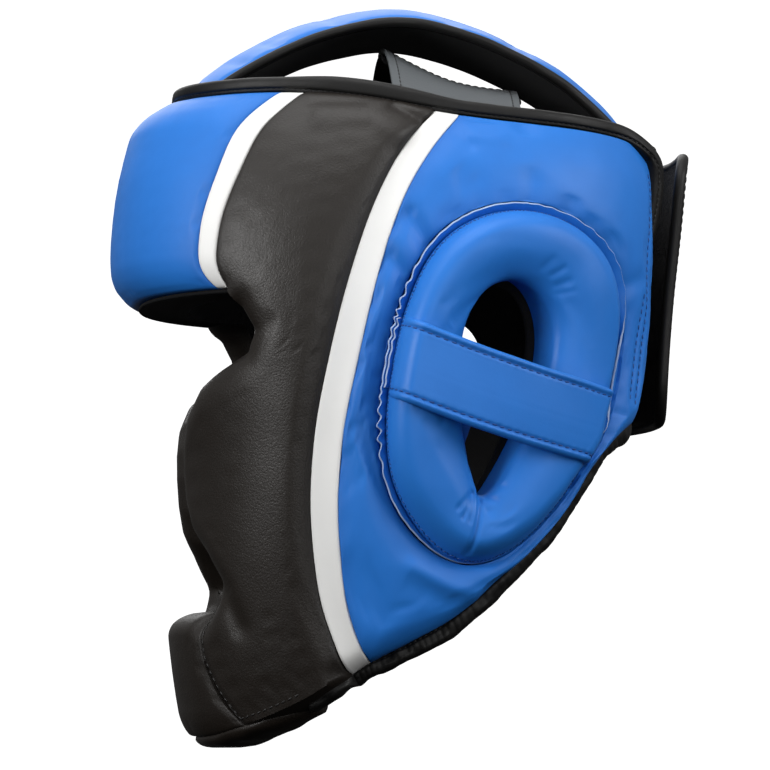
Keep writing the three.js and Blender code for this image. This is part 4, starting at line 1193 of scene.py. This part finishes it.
def flangeFaces(turns, step, lift, sign):
    rise = np.linspace(0, 1, flange["rows"])
    least = ear["leastInset"]
    room = np.minimum((seamWidth(turns) - least) / (ear["inset"] - least), 1)
    size = flange["calm"] + sum(tall * bell(turns, at, wide) for at, wide, tall in flange["ruffles"])
    shift = softNoise(turns, turns * 0, flange["unevenSize"], flange["seed"] + sign)
    wave = np.sin(flange["waves"] * turns * degree + flange["uneven"] * shift) * size * room
    behind = bell(turns, *ear["rearSpan"])
    foot = padReach(turns) - flange["inside"] - step + flange["rearFoot"] * behind
    top = np.maximum(earReach(turns) - flange["short"] - step + wave, foot + flange["least"])
    reach = lerp(foot, top - flange["rearLean"] * behind, rise ** flange["lean"])
    highest = lerp(flange["lowTop"], flange["top"], room) + lift
    highest = highest + flange["waveUp"] * wave + flange["rearUp"] * behind
    lowest = earSeam(np.mod(turns, 360)) + flange["foot"]
    height = lerp(lowest, highest, rise ** flange["curl"])
    outward = np.gradient(reach, axis=1)
    upward = np.gradient(height, axis=1)
    length = np.hypot(outward, upward)
    faces = []
    for half in (0.5, -0.5):
        angle, z = earSpot(turns, reach - half * flange["wall"] * upward / length)
        radius = outerRadius(angle, z) + height + half * flange["wall"] * outward / length
        faces.append(place(angle, z, radius) * flip[sign])
    return faces


def addFlange(name, mesh, walls):    # blue faces, and the cut edge on the walls, which come last: pale, with a painted highlight
    mesh[2][:] = 0
    mesh[2][walls:] = 1
    dress(addPiece(name, mesh, ["blueLeather", "rawEdgeAndHighlight"]))


ringTurn = np.arange(flange["directions"]) * 360 / flange["directions"]
strapTurn = np.linspace(*flange["strapEnd"], flange["strapSteps"])[:, None]
for sideName, sideNode, sign in sides:
    inside, outside = flangeFaces(ringTurn[:, None], 0, 0, sign)
    ringMesh = padMesh(inside, outside, loop=True, rings=1, puff=0.15)
    addFlange("earFlange" + sideName, ringMesh, -2 * flange["directions"])
    near, away = flangeFaces(strapTurn, flange["strapStep"], flange["strapRise"], sign)
    tuckFaces = 2 * (flange["strapSteps"] - 1) * (flange["rows"] - 1)
    addFlange("strapTuck" + sideName, padMesh(near, away, rings=1, puff=0.1), tuckFaces)
    line, above = (padEdge(ringTurn, k * flange["sewAt"]) * flip[sign] for k in (1, 2))
    upward = np.cross(np.roll(line, -1, 0) - np.roll(line, 1, 0), above - line)
    outward = radialOut(earSpot(ringTurn, 50)[0]) * flip[sign]
    upward *= np.sign(np.sum(upward * outward, axis=1, keepdims=True))
    upward /= np.linalg.norm(upward, axis=1, keepdims=True)
    line = line + flange["sewProud"] * upward
    closed = [np.concatenate([row, row[:1]]) for row in (line, upward)]
    sew("earStitches" + sideName, [closed], flange["stitch"])
print("ear pads done")

# Straps over the ear holes
strap = {
    "slope": -17.5, "halfWidth": 15.4, "offset": -7.4, "curve": 2.8, "curveAt": 40, "search": (20, 75),
    "tries": 551, "tuck": 0.5, "wall": 2.2, "endWall": 1.2, "endFade": 9, "lift": 0.9, "along": 170,
    "across": 60, "seamDepth": 1.1, "seamWidth": 1.4, "hem": (1.5, 0.9), "hemRise": 0.35, "rowIn": 3.0,
    "groove": 0.6, "grooveWidth": 0.6, "dimple": 0.12, "dimpleWidth": 1.4, "ruffle": 0.35,
    "ruffleSize": 7, "ruffleFade": 4, "seed": 45, "above": 4, "proud": 0.12,
    "stitch": {"spacing": 3.3, "length": 2.5, "thick": 0.75, "slant": 7, "thread": "darkThread"},
}


def earTop(arc, up):
    direction = np.arctan2(arc, up) / degree - ear["lean"]
    far, near = padReach(direction), holeReach(direction)
    share = (far - np.hypot(arc, up)) / (far - near)
    height = earHeight(direction, np.clip(share, 0, ear["crestAt"]))
    for k in range(height.shape[1]):
        inside = np.flatnonzero(share[:, k] >= ear["crestAt"])
        first, last = inside[0], inside[-1]
        span = (arc[:, k] - arc[first, k]) / (arc[last, k] - arc[first, k])
        height[first:last, k] = lerp(height[first, k], height[last, k], span[first:last])
    return height


def strapLay(middle, side):
    slope = strap["slope"] * degree
    out = side * strap["halfWidth"]
    up = strap["offset"] + middle * math.tan(slope) + strap["curve"] * (middle / strap["curveAt"]) ** 2
    return middle - out * math.sin(slope), up + out * math.cos(slope)


def strapEnd(side, way):    # where the strap goes down into the seam round the pad
    tries = way * np.linspace(*strap["search"], strap["tries"])[:, None]
    arc, up = strapLay(tries, side)
    past = np.hypot(arc, up) > padReach(np.arctan2(arc, up) / degree - ear["lean"]) + strap["tuck"]
    return tries[np.argmax(past, axis=0), 0]


side = (crowded(strap["across"]) * 2 - 1)[None, :]
middle = lerp(strapEnd(side, -1), strapEnd(side, 1), crowded(strap["along"], 0.3)[:, None])
arc, up = strapLay(middle, side)
angle, z = ear["angle"] + arc / arcDegree, ear["z"] + up
radius = outerRadius(angle, z) + earTop(arc, up)
toEnd = np.minimum(middle - middle[:1], middle[-1:] - middle)
fromEnd = smoothStep(toEnd, 0, strap["endFade"])
toEdge = (1 - np.abs(side)) * strap["halfWidth"] + 0 * middle
profile = strap["hemRise"] * bell(toEdge, *strap["hem"]) - seamRoll(toEdge, strap)
profile -= strap["groove"] * bell(toEdge, strap["rowIn"], strap["grooveWidth"])
dimples = strap["dimple"] * np.cos(2 * np.pi * middle / strap["stitch"]["spacing"])
profile -= dimples * bell(toEdge, strap["rowIn"], strap["dimpleWidth"])
rowSide = 1 - strap["rowIn"] / strap["halfWidth"]
# Painted shade: the strap darkens along its sewn grooves
rowShadeMask = np.exp(-np.abs(toEdge - strap["rowIn"]) / 0.7)
for sideName, sideNode, sign in sides:
    ruffle = softNoise(middle + 90, side * 8 + 40, strap["ruffleSize"], strap["seed"] + sign)
    ruffle = ruffle * np.exp(-toEdge / strap["ruffleFade"])
    low = radius + (strap["lift"] + strap["ruffle"] * ruffle) * fromEnd
    outer = place(angle, z, low + lerp(strap["endWall"], strap["wall"], fromEnd) + profile) * flip[sign]
    strapMesh = padMesh(outer, place(angle, z, low) * flip[sign], rings=2, puff=0.3)
    band = makePiece("ear_strap_" + sideNode, strapMesh, ["blueLeather"], seam=rowShadeMask)
    rows = []
    for edgeSide in (-rowSide, rowSide):
        column = int(np.argmin(np.abs(side[0] - edgeSide)))
        rowAngle, rowZ, rowRadius = (grid[2:-2, column] for grid in (angle, z, radius))
        rows.append(sewnRow(band, rowAngle, rowZ, rowRadius + strap["above"], sign, strap["proud"]))
    sew("strapStitches" + sideName, rows, strap["stitch"])
print("ear straps done")

# Chin pad between the chin seams, and the roll that closes it from below
chin = {
    "across": 96, "up": 60, "seamDepth": 0.8, "seamWidth": 1.2, "ripple": 0.35, "rippleSize": 20,
    "seed": 41, "cap": 0.5, "spare": 0.002, "puff": 1.6,
}
shares = crowded(chin["up"])
chinEdge = chinSeamAngle(lerp(chinFoot, form["chinTop"], shares)) - form["seamGap"]
angle = chinEdge[:, None] * (crowded(chin["across"]) * 2 - 1)
z = lerp(lowerHeight(angle), form["chinTop"], shares[:, None])
toSeam = lineDistance(uprightLine(chinSeamAngle, chinFoot, form["chinTop"], 20), mapSpot(angle, z))
swell = ripples(angle * 1.7 + 200, z, chin)
base = headRadius(angle, z)
outer = base + padDepth(angle, z) + swell - seamRoll(toSeam, chin)
inner = place(angle, z, base)
chinMesh = padMesh(puffed(place(angle, z, outer), inner, chin), inner, puff=chin["puff"])
# Painted shade: darker beside the chin seams
makePiece("chin_pad", chinMesh, ["blackLeather", "innerLining"], np.exp(-toSeam / 3))

gusset = {
    "end": 57.5, "fade": 9, "up": 3.8, "across": 12.2, "tuck": 3.3, "full": 0.6, "endAcross": 4.6,
    "frontLess": 0.9, "frontWide": 20, "along": 181, "round": 28, "ripple": 0.25, "rippleSize": 9,
    "seed": 51,
}
angle = np.linspace(-gusset["end"], gusset["end"], gusset["along"])[:, None]
turn = np.arange(gusset["round"]) * 2 * np.pi / gusset["round"]
across = lerp(gusset["endAcross"], gusset["across"], 1 - (angle / gusset["end"]) ** gusset["fade"])
across = across - gusset["frontLess"] * bell(angle, 0, gusset["frontWide"])
z = lowerHeight(angle) - gusset["up"] - form["clearance"] + gusset["tuck"]
swell = softNoise(angle * 1.7 + 200, turn * 8 + 40, gusset["rippleSize"], gusset["seed"])
swell = gusset["ripple"] * swell
blunt = np.sign(np.cos(turn)) * np.abs(np.cos(turn)) ** gusset["full"]
radius = headRadius(angle, z) + across + (across + swell) * blunt
sections = place(angle, z + (gusset["up"] + swell) * np.sin(turn), radius)
makePiece("chin_gusset", rollMesh(sections), ["blackLeather"])

# Stitches beside the chin seams and along the foot of the cheek pads
chinSewing = {
    "inset": 1.9, "radius": 88, "foot": -281, "top": 4, "steps": 70, "hemInset": 2.6, "hemAt": -280,
    "hemFrom": 2.5, "hemEnd": 57, "hemSteps": 60,
    "stitch": {"spacing": 3.0, "length": 2.3, "thick": 0.65, "slant": 8, "thread": "blackThread"},
}
rowZ = np.linspace(chinSewing["foot"], form["chinTop"] - chinSewing["top"], chinSewing["steps"])
rowAngle = chinSeamAngle(rowZ) + chinSewing["inset"] / (chinSewing["radius"] * degree)
hemFrom = chinSeamAngle(chinSewing["hemAt"]) + chinSewing["hemFrom"]
hemAngle = np.linspace(hemFrom, chinSewing["hemEnd"], chinSewing["hemSteps"])
chinRows = [(rowAngle, rowZ), (hemAngle, lowerHeight(hemAngle) + chinSewing["hemInset"])]
for sideName, sideNode, sign in sides:
    rows = [sewnRow(cheekPads[sign], *row, outerRadius(*row), sign) for row in chinRows]
    sew("chinStitches" + sideName, rows, chinSewing["stitch"])
print("chin done")

# Bindings round the rim and along the lower edge
binding = {
    "rimAlong": 420, "round": 40, "full": 0.75, "groove": 0.7, "grooveAt": -0.62, "grooveWidth": 0.16,
    "rimTo": 155, "rimHalf": ([0, 50, 65, 90, 105, 150, 158], [3.2, 3.2, 4.4, 4.2, 3.2, 3.2, 3.6]),
    "frontProud": (1.6, 40), "rimOut": 0.8, "rimWobble": (0.12, 12), "flare": 8.5, "flareFrom": 144,
    "flareTo": 160, "drop": 11, "tail": 36, "tailAngle": [155, 156.9, 157.9, 158.2, 158.3],
    "tailDrop": [5.7, 10.5, 19, 34, 56], "tailOut": [6.1, 7, 5.8, 2.5, -5], "seed": 61, "proud": 0.1,
    "lowAcross": 4.6, "lowFrom": 58, "lowTo": 153, "lowAlong": 300, "tuck": 1.4, "lowGrooveAt": 0.7,
    "lowHalf": ([58, 70, 85, 100, 125, 145, 153], [2.8, 3.0, 3.9, 4.7, 4.7, 3.9, 3.7]),
    "pucker": 0.55, "puckerSize": 4.5, "lump": 0.45, "lumpAt": (149, 3.5), "follow": 0.85, "thinEdge": 11,
    "stitch": {"spacing": 2.3, "length": 1.8, "thick": 0.6, "slant": 6, "thread": "blackThread"},
}


def fuller(value):    # squarer than a circle
    return np.sign(value) * np.abs(value) ** binding["full"]


def mirrored(half, sign):    # from one end of the rim to the other
    return np.concatenate([sign * half[:0:-1], half])[:, None]


def foldedAt(groove):    # angle round the tape, from the groove beside its seam
    return np.angle(np.exp(1j * (around - groove)))


around = np.arange(binding["round"]) * 2 * np.pi / binding["round"]
run = np.linspace(0, binding["rimTo"], binding["rimAlong"] // 2)
flare = smoothStep(run, binding["flareFrom"], binding["flareTo"])
tailSteps = np.linspace(0, 4, binding["tail"])[1:]
rimRuns = {
    "tailAngle": run, "tailDrop": binding["drop"] * flare ** 2, "tailOut": binding["flare"] * flare,
}
halves = {}
for name, start in rimRuns.items():
    halves[name] = np.concatenate([start, fineCurve(np.arange(5), binding[name])(tailSteps)])
angle = mirrored(halves["tailAngle"], -1)
z = rimHeight(angle) - mirrored(halves["tailDrop"], 1)
frontProud, frontWide = binding["frontProud"]
radius = headRadius(angle, z) + rimLip(angle) - form["rimAcross"] + form["rimProud"]
radius += mirrored(halves["tailOut"], 1) + frontProud * bell(angle, 0, frontWide)
rimHalf = fineCurve(*binding["rimHalf"], 4)(np.abs(angle))
alongArc = np.gradient(angle * degree * form["mapRadius"], axis=0)
alongZ = np.gradient(z, axis=0)
alongLength = np.hypot(alongArc, alongZ)
wobbleSize, wobbleLength = binding["rimWobble"]
wobble = wobbleSize * softNoise(angle * 1.7 + 400, around * 2 + 40, wobbleLength, binding["seed"])
folded = foldedAt(binding["grooveAt"])
wobble = wobble - binding["groove"] * bell(folded, 0, binding["grooveWidth"])
rise = (rimHalf + wobble) * fuller(np.sin(around))
tapeAngle = angle - rise * alongZ / alongLength / arcDegree
tapeRadius = radius + (form["rimAcross"] + wobble) * fuller(np.cos(around))
tapeRadius = tapeRadius + (rimHalf - form["rimUp"]) * binding["rimOut"]
sections = place(tapeAngle, z + rise * alongArc / alongLength, tapeRadius)
makePiece("rim_binding", rollMesh(sections), ["bindingTape"])
column = int(np.argmin(np.abs(folded)))
acrossTape = sections[1:-1, column + 1] - sections[1:-1, column - 1]
rowUp = np.cross(sections[2:, column] - sections[:-2, column], acrossTape)
rowUp /= np.linalg.norm(rowUp, axis=1, keepdims=True)
rowUp *= np.sign(np.sum(rowUp * radialOut(angle[1:-1, 0]), axis=1, keepdims=True))
row = sections[1:-1, column] + binding["proud"] * rowUp
sew("rimStitches", [(row, rowUp)], binding["stitch"])

angle = np.linspace(binding["lowFrom"], binding["lowTo"], binding["lowAlong"])[:, None]
ahead = mapSpot(angle + 1, lowerHeight(angle + 1)) - mapSpot(angle - 1, lowerHeight(angle - 1))
ahead /= np.linalg.norm(ahead, axis=-1, keepdims=True)
lowHalf = fineCurve(*binding["lowHalf"], 4)(angle)
core = lowHalf + form["clearance"] - binding["tuck"]
edgeOut = binding["follow"] * np.maximum(padDepth(angle, lowerHeight(angle)) - binding["thinEdge"], 0)


def belowEdge(shift):
    aside = ahead[..., 1] * shift / arcDegree
    return angle + aside, lowerHeight(angle) - ahead[..., 0] * shift


arc = angle * degree * form["mapRadius"]
folded = foldedAt(binding["lowGrooveAt"])
column = int(np.argmin(np.abs(folded)))
lump = 1 + binding["lump"] * bell(angle, *binding["lumpAt"])
coreAngle, coreZ = belowEdge(core)
for sideName, sideNode, sign in sides:
    wobble = softNoise(arc, around * 3 + 40, binding["puckerSize"], binding["seed"] + sign)
    wobble = binding["pucker"] * wobble - binding["groove"] * bell(folded, 0, binding["grooveWidth"])
    spotAngle, spotZ = belowEdge(core - (lowHalf * lump + wobble) * fuller(np.sin(around)))
    reach = binding["lowAcross"] * lump + wobble
    radius = headRadius(coreAngle, coreZ) + binding["lowAcross"] + edgeOut
    sections = place(spotAngle, spotZ, radius + reach * fuller(np.cos(around))) * flip[sign]
    makePiece("lower_binding_" + sideNode, rollMesh(sections, bulge=2), ["bindingTape"])
    rowUp = radialOut(coreAngle[1:-1, 0]) * flip[sign]
    row = sections[1:-1, column] + binding["proud"] * rowUp
    sew("lowerStitches" + sideName, [(row, rowUp)], binding["stitch"])
print("bindings done")

# Crown strap, its lining and its edge rolls
crown = {
    "y": 1, "z": -110, "edgeShare": 0.42, "backCut": 0.0021, "roll": 2.0, "along": 130, "across": 50,
    "turn": [-42.6, -30, -12, 0, 12, 25, 45, 62, 71],
    "reach": [119.6, 120, 120.8, 122.8, 121, 119.6, 121.8, 121, 113.6],
    "thick": [11, 12.6, 11.8, 11.8, 11.4, 10.8, 11, 7, 5.8],
    "half": [29, 30, 30, 30, 30, 30, 29, 28, 27], "arc": 2.1, "wobble": (0.15, 10),
    "wave": 0.5, "waveSize": 16, "seed": 71, "cap": 0.7, "spare": 0.006,
}
crownCurves = [fineCurve(crown["turn"], crown[name], 4) for name in ("reach", "thick", "half")]
crownReach, crownThick, crownHalf = crownCurves


def crownPoint(turn, x, reach):
    turn, x, reach = np.broadcast_arrays(turn, x, reach)
    share = (turn - crown["turn"][0]) / (crown["turn"][-1] - crown["turn"][0])
    swept = (turn + crown["backCut"] * x * x * (1 - share)) * degree
    return np.stack([x, crown["y"] + reach * np.sin(swept), crown["z"] + reach * np.cos(swept)], -1)


turn = np.linspace(crown["turn"][0], crown["turn"][-1], crown["along"])[:, None]
side = (crowded(crown["across"]) * 2 - 1)[None, :]
crownArc = turn * crown["arc"]
wave = crown["wave"] * softNoise(crownArc + 200, side * 12 + 40, crown["waveSize"], crown["seed"])
fall = (1 - crown["edgeShare"]) * side ** 2 * crownThick(turn)
across = side * crownHalf(turn)
outer = crownPoint(turn, across, crownReach(turn) - fall + wave)
base = crownReach(turn) - crownThick(turn)
inner = crownPoint(turn, across, base + form["liningWall"] + form["clearance"] + 0 * side)
crownMesh = padMesh(puffed(outer, inner, crown), inner, puff=0.6)
makePiece("crown_strap", crownMesh, ["blueLeather"])
show = crownPoint(turn, across, base + 0 * side)
deep = crownPoint(turn, across, base + form["liningWall"] + 0 * side)
crownLay = np.stack(np.broadcast_arrays(side * 30, crownArc), -1)
makePiece("crown_lining", padMesh(show, deep, puff=0.3), ["innerLining"], lay=crownLay)
wobbleSize, wobbleLength = crown["wobble"]
for sideName, sideNode, sign in sides:
    wobble = softNoise(crownArc + 200, around * 2 + 40, wobbleLength, crown["seed"] + sign)
    thick = crown["roll"] + wobbleSize * wobble
    x = crownHalf(turn) + crown["roll"] + form["clearance"] + thick * np.cos(around)
    tape = rollMesh(crownPoint(turn, x, base + crown["roll"] + thick * np.sin(around)) * flip[sign])
    makePiece("crown_binding_" + sideNode, tape, ["bindingTape"])
print("crown done")

# Cross straps from rim to rim: the left one lies on the right one
cross = {
    "y": [-2, 14, 27, 41, 55], "middle": [-5.4, -14, -19.5, -22, -23],
    "root": [-44, -45.5, -47, -48.5, -50], "wall": 2, "inset": 3.4, "rimHalf": 70,
    "leftEnd": -8, "rightEnd": 22, "drop": 2.9, "along": 90, "across": 50, "ahead": -0.8,
    "box": ((0.06, 0.07), (0.62, 0.93)), "boxSteps": 40, "proud": 0.1,
    "stitch": {"spacing": 3.2, "length": 2.4, "thick": 0.55, "slant": 3, "thread": "blackThread"},
}
crossMiddle = fineCurve(cross["y"], cross["middle"], 5)
crossRoot = fineCurve(cross["y"], cross["root"], 5)


def crossSheet(end, lift):
    y = np.linspace(cross["y"][0], cross["y"][-1], cross["across"])[None, :]
    share = crowded(cross["along"], 0.5)[:, None]
    angle = np.arctan2(cross["rimHalf"], form["centre"] - y) / degree
    rim = place(angle, crossRoot(y), headRadius(angle, crossRoot(y)) - cross["inset"])
    x = lerp(rim[..., 0], end, share)
    height = lerp(crossMiddle(y), crossRoot(y), (x / rim[..., 0]) ** 2)
    return np.stack([x, lerp(rim[..., 1], y, share), height + lift], -1)


def addCross(node, top, low, coat):
    makePiece(node, padMesh(top, low, rings=2, puff=0.3), [coat], lay=top[..., :2])


faceLifts = (cross["wall"], 0)
crossTop, crossLow = (crossSheet(cross["leftEnd"], lift) for lift in faceLifts)
addCross("cross_strap_left", crossTop, crossLow, "hookTape")
boxSteps = cornerSteps(*cross["box"], cross["boxSteps"])
i = np.rint(boxSteps[:, 0] * (cross["along"] - 1)).astype(int)
j = np.rint(boxSteps[:, 1] * (cross["across"] - 1)).astype(int)
boxUp = np.cross(crossTop[i + 1, j] - crossTop[i, j], crossTop[i, j + 1] - crossTop[i, j])
boxUp *= np.sign(boxUp[:, 2:]) / np.linalg.norm(boxUp, axis=1, keepdims=True)
sew("crossStitches", [(crossTop[i, j] + cross["proud"] * boxUp, boxUp)], cross["stitch"])
mirrorDrop = np.array([0, cross["ahead"], -cross["drop"]])
underFaces = [crossSheet(-cross["rightEnd"], lift) * flip[-1] + mirrorDrop for lift in faceLifts]
addCross("cross_strap_right", *underFaces, "loopPile")
print("cross straps done")

# Loop panel between the rear pads, and the closing flap over it
panel = {
    "wall": 2.8, "top": -57, "bottom": -155, "up": 60, "across": 70, "nap": 0.35, "napSize": 2.2,
    "seed": 81,
}
z = np.linspace(panel["bottom"], panel["top"], panel["up"])[:, None]
edge = backAngle(z) + 2 * form["seamGap"]
angle = lerp(edge, 360 - edge, np.linspace(0, 1, panel["across"]))
nap = panel["nap"] * softNoise(angle * 1.7, z + 400, panel["napSize"], panel["seed"])
base = headRadius(angle, z) + form["clearance"]
outer = place(angle, z, base + panel["wall"] + nap)
panelMesh = padMesh(outer, place(angle, z, base), rings=2, puff=0.2)
makePiece("back_panel", panelMesh, ["loopPile", "innerLining"], lay=mapSpot(angle, z))

flap = {
    "z": [-162, -140, -113, -80, -50], "face": [114.6, 115.8, 118, 122, 125.4], "wall": 4, "free": 164,
    "bend": 185, "sewn": 214, "corner": 14, "footTrim": 1.3, "shorter": 2, "lift": 0.45, "along": 90,
    "up": 70, "bound": 2.4, "boundWide": 2.2, "radius": 118, "rowIn": 5.5, "rowSteps": 50, "above": 8,
    "stitch": {"spacing": 3.4, "length": 2.6, "thick": 0.6, "slant": 5, "thread": "blackThread"},
}
flapFace = fineCurve(flap["z"], flap["face"], 5)
angle = lerp(flap["free"], flap["sewn"], crowded(flap["along"]))[:, None]
rounding = np.maximum(0, 1 - (angle - flap["free"]) * degree * form["mapRadius"] / flap["corner"])
trim = flap["corner"] * (1 - np.sqrt(1 - rounding ** 2))
flapFoot = flap["z"][0] + flap["shorter"]
z = lerp(flapFoot + flap["footTrim"] * trim, flap["z"][-1] - trim, crowded(flap["up"]))
stand = flapFace(z) - level["back"](z) - flap["wall"]
sit = outerRadius(angle, z) + lerp(stand, flap["lift"], smoothStep(angle, flap["bend"], flap["sewn"]))
flapOuter = place(angle, z, sit + flap["wall"])
flapInner = place(angle, z, sit)
flapMesh = padMesh(flapOuter, flapInner, rings=3, puff=1.0)
backFlap = makePiece("back_flap", flapMesh, ["flapCloth", "loopPile"], lay=mapSpot(angle, z))
flapRoll = edgeRoll(flapOuter, flapInner, flap["boundWide"], flap["bound"])
dress(addPiece("flapBinding", flapRoll, ["bindingTape"]))
flapWide = (flap["sewn"] - flap["free"]) * degree * flap["radius"]
flapTall = flap["z"][-1] - flap["z"][0]
inset = np.array([flap["rowIn"] / flapWide, flap["rowIn"] / flapTall])
steps = cornerSteps(inset, 1 - inset, flap["rowSteps"])
rowAngle = lerp(flap["free"], flap["sewn"], steps[:, 0])
rowZ = lerp(flapFoot, flap["z"][-1], steps[:, 1])
row = sewnRow(backFlap, rowAngle, rowZ, outerRadius(rowAngle, rowZ) + flap["above"])
sew("flapStitches", [row], flap["stitch"])
print("back closing done")

# Studio: pale floor and backdrop, soft boxes, and the camera of the photograph
studio = {
    "floor": 8, "floorZ": -0.62, "backdrop": 9.0, "fill": 0.5,
    "sky": [(0.30, (0.012, 0.012, 0.012, 1)), (0.52, (0.22, 0.22, 0.22, 1)), (0.95, (1, 1, 1, 1))],
    "lights": [
        {"name": "overheadBox", "at": (0.4, -0.25, 1.2), "aim": (0, 0, -0.12), "size": 1.2, "watts": 12},
        {"name": "keyBox", "at": (0.85, -1.35, 0.25), "aim": (0, 0, -0.15), "size": 0.65, "watts": 16},
        {"name": "backBox", "at": (0.9, 1.3, 0.6), "aim": (0, 0, -0.12), "size": 1.0, "watts": 15.5},
        {"name": "farBox", "at": (-1.3, -0.1, 0.9), "aim": (0, 0, -0.05), "size": 1.2, "watts": 9},
        {"name": "frontFill", "at": (1.7, 0.25, 0.0), "aim": (0, 0, -0.15), "size": 1.0, "watts": 6.5},
    ],
    "camera": (1.538, -0.148, -0.2656), "target": (0, 0, -0.144), "lens": 174.6, "sensor": 36,
}


def addStage(name, build):
    shell = bmesh.new()
    build(shell)
    data = bpy.data.meshes.new(name)
    shell.to_mesh(data)
    shell.free()
    data.materials.append(Finish(bpy.data.materials.new(name + "White")).surface({
        "Base Color": (0.8, 0.8, 0.8, 1), "Roughness": 1.0, "Emission Color": (1, 1, 1, 1),
        "Emission Strength": 1.0,
    }))
    stageObject = linked(name, data)
    stageObject.visible_diffuse = False    # only the camera sees it, so it adds no light of its own
    stageObject.visible_glossy = False
    stageObject.visible_shadow = False
    return stageObject


def makeFloor(shell):
    bmesh.ops.create_circle(shell, cap_ends=True, segments=96, radius=studio["floor"])


def makeBackdrop(shell):
    bmesh.ops.create_uvsphere(shell, u_segments=48, v_segments=24, radius=studio["backdrop"])


floor = addStage("paleFloor", makeFloor)
floor.data.transform(Matrix.Translation((0, 0, studio["floorZ"])))
addStage("paleBackdrop", makeBackdrop)

sky = Finish(bpy.data.worlds.new("studioFill"), "Background")
where = sky.node("ShaderNodeTexCoord", {}, {}, "Generated")
height = sky.node("ShaderNodeSeparateXYZ", {}, {0: where}, "Z")
share = sky.node("ShaderNodeMapRange", {}, {"Value": height, "From Min": -1})
glow = sky.node("ShaderNodeValToRGB", {"stops": studio["sky"]}, {"Fac": share})
bpy.context.scene.world = sky.surface({"Color": glow, "Strength": studio["fill"]})


def standing(name, data, at, aim):
    made = linked(name, data)
    made.location = at
    made.rotation_euler = (Vector(aim) - Vector(at)).to_track_quat("-Z", "Y").to_euler()
    return made


for light in studio["lights"]:
    lamp = bpy.data.lights.new(light["name"], "AREA")
    lamp.shape = "SQUARE"
    lamp.size = light["size"]
    lamp.energy = light["watts"]
    standing(light["name"], lamp, light["at"], light["aim"])

lens = bpy.data.cameras.new("photoCamera")
lens.lens = studio["lens"]
lens.sensor_width = studio["sensor"]
bpy.context.scene.camera = standing("photoCamera", lens, studio["camera"], studio["target"])
bpy.context.scene.view_settings.view_transform = "Standard"
print("studio ready")
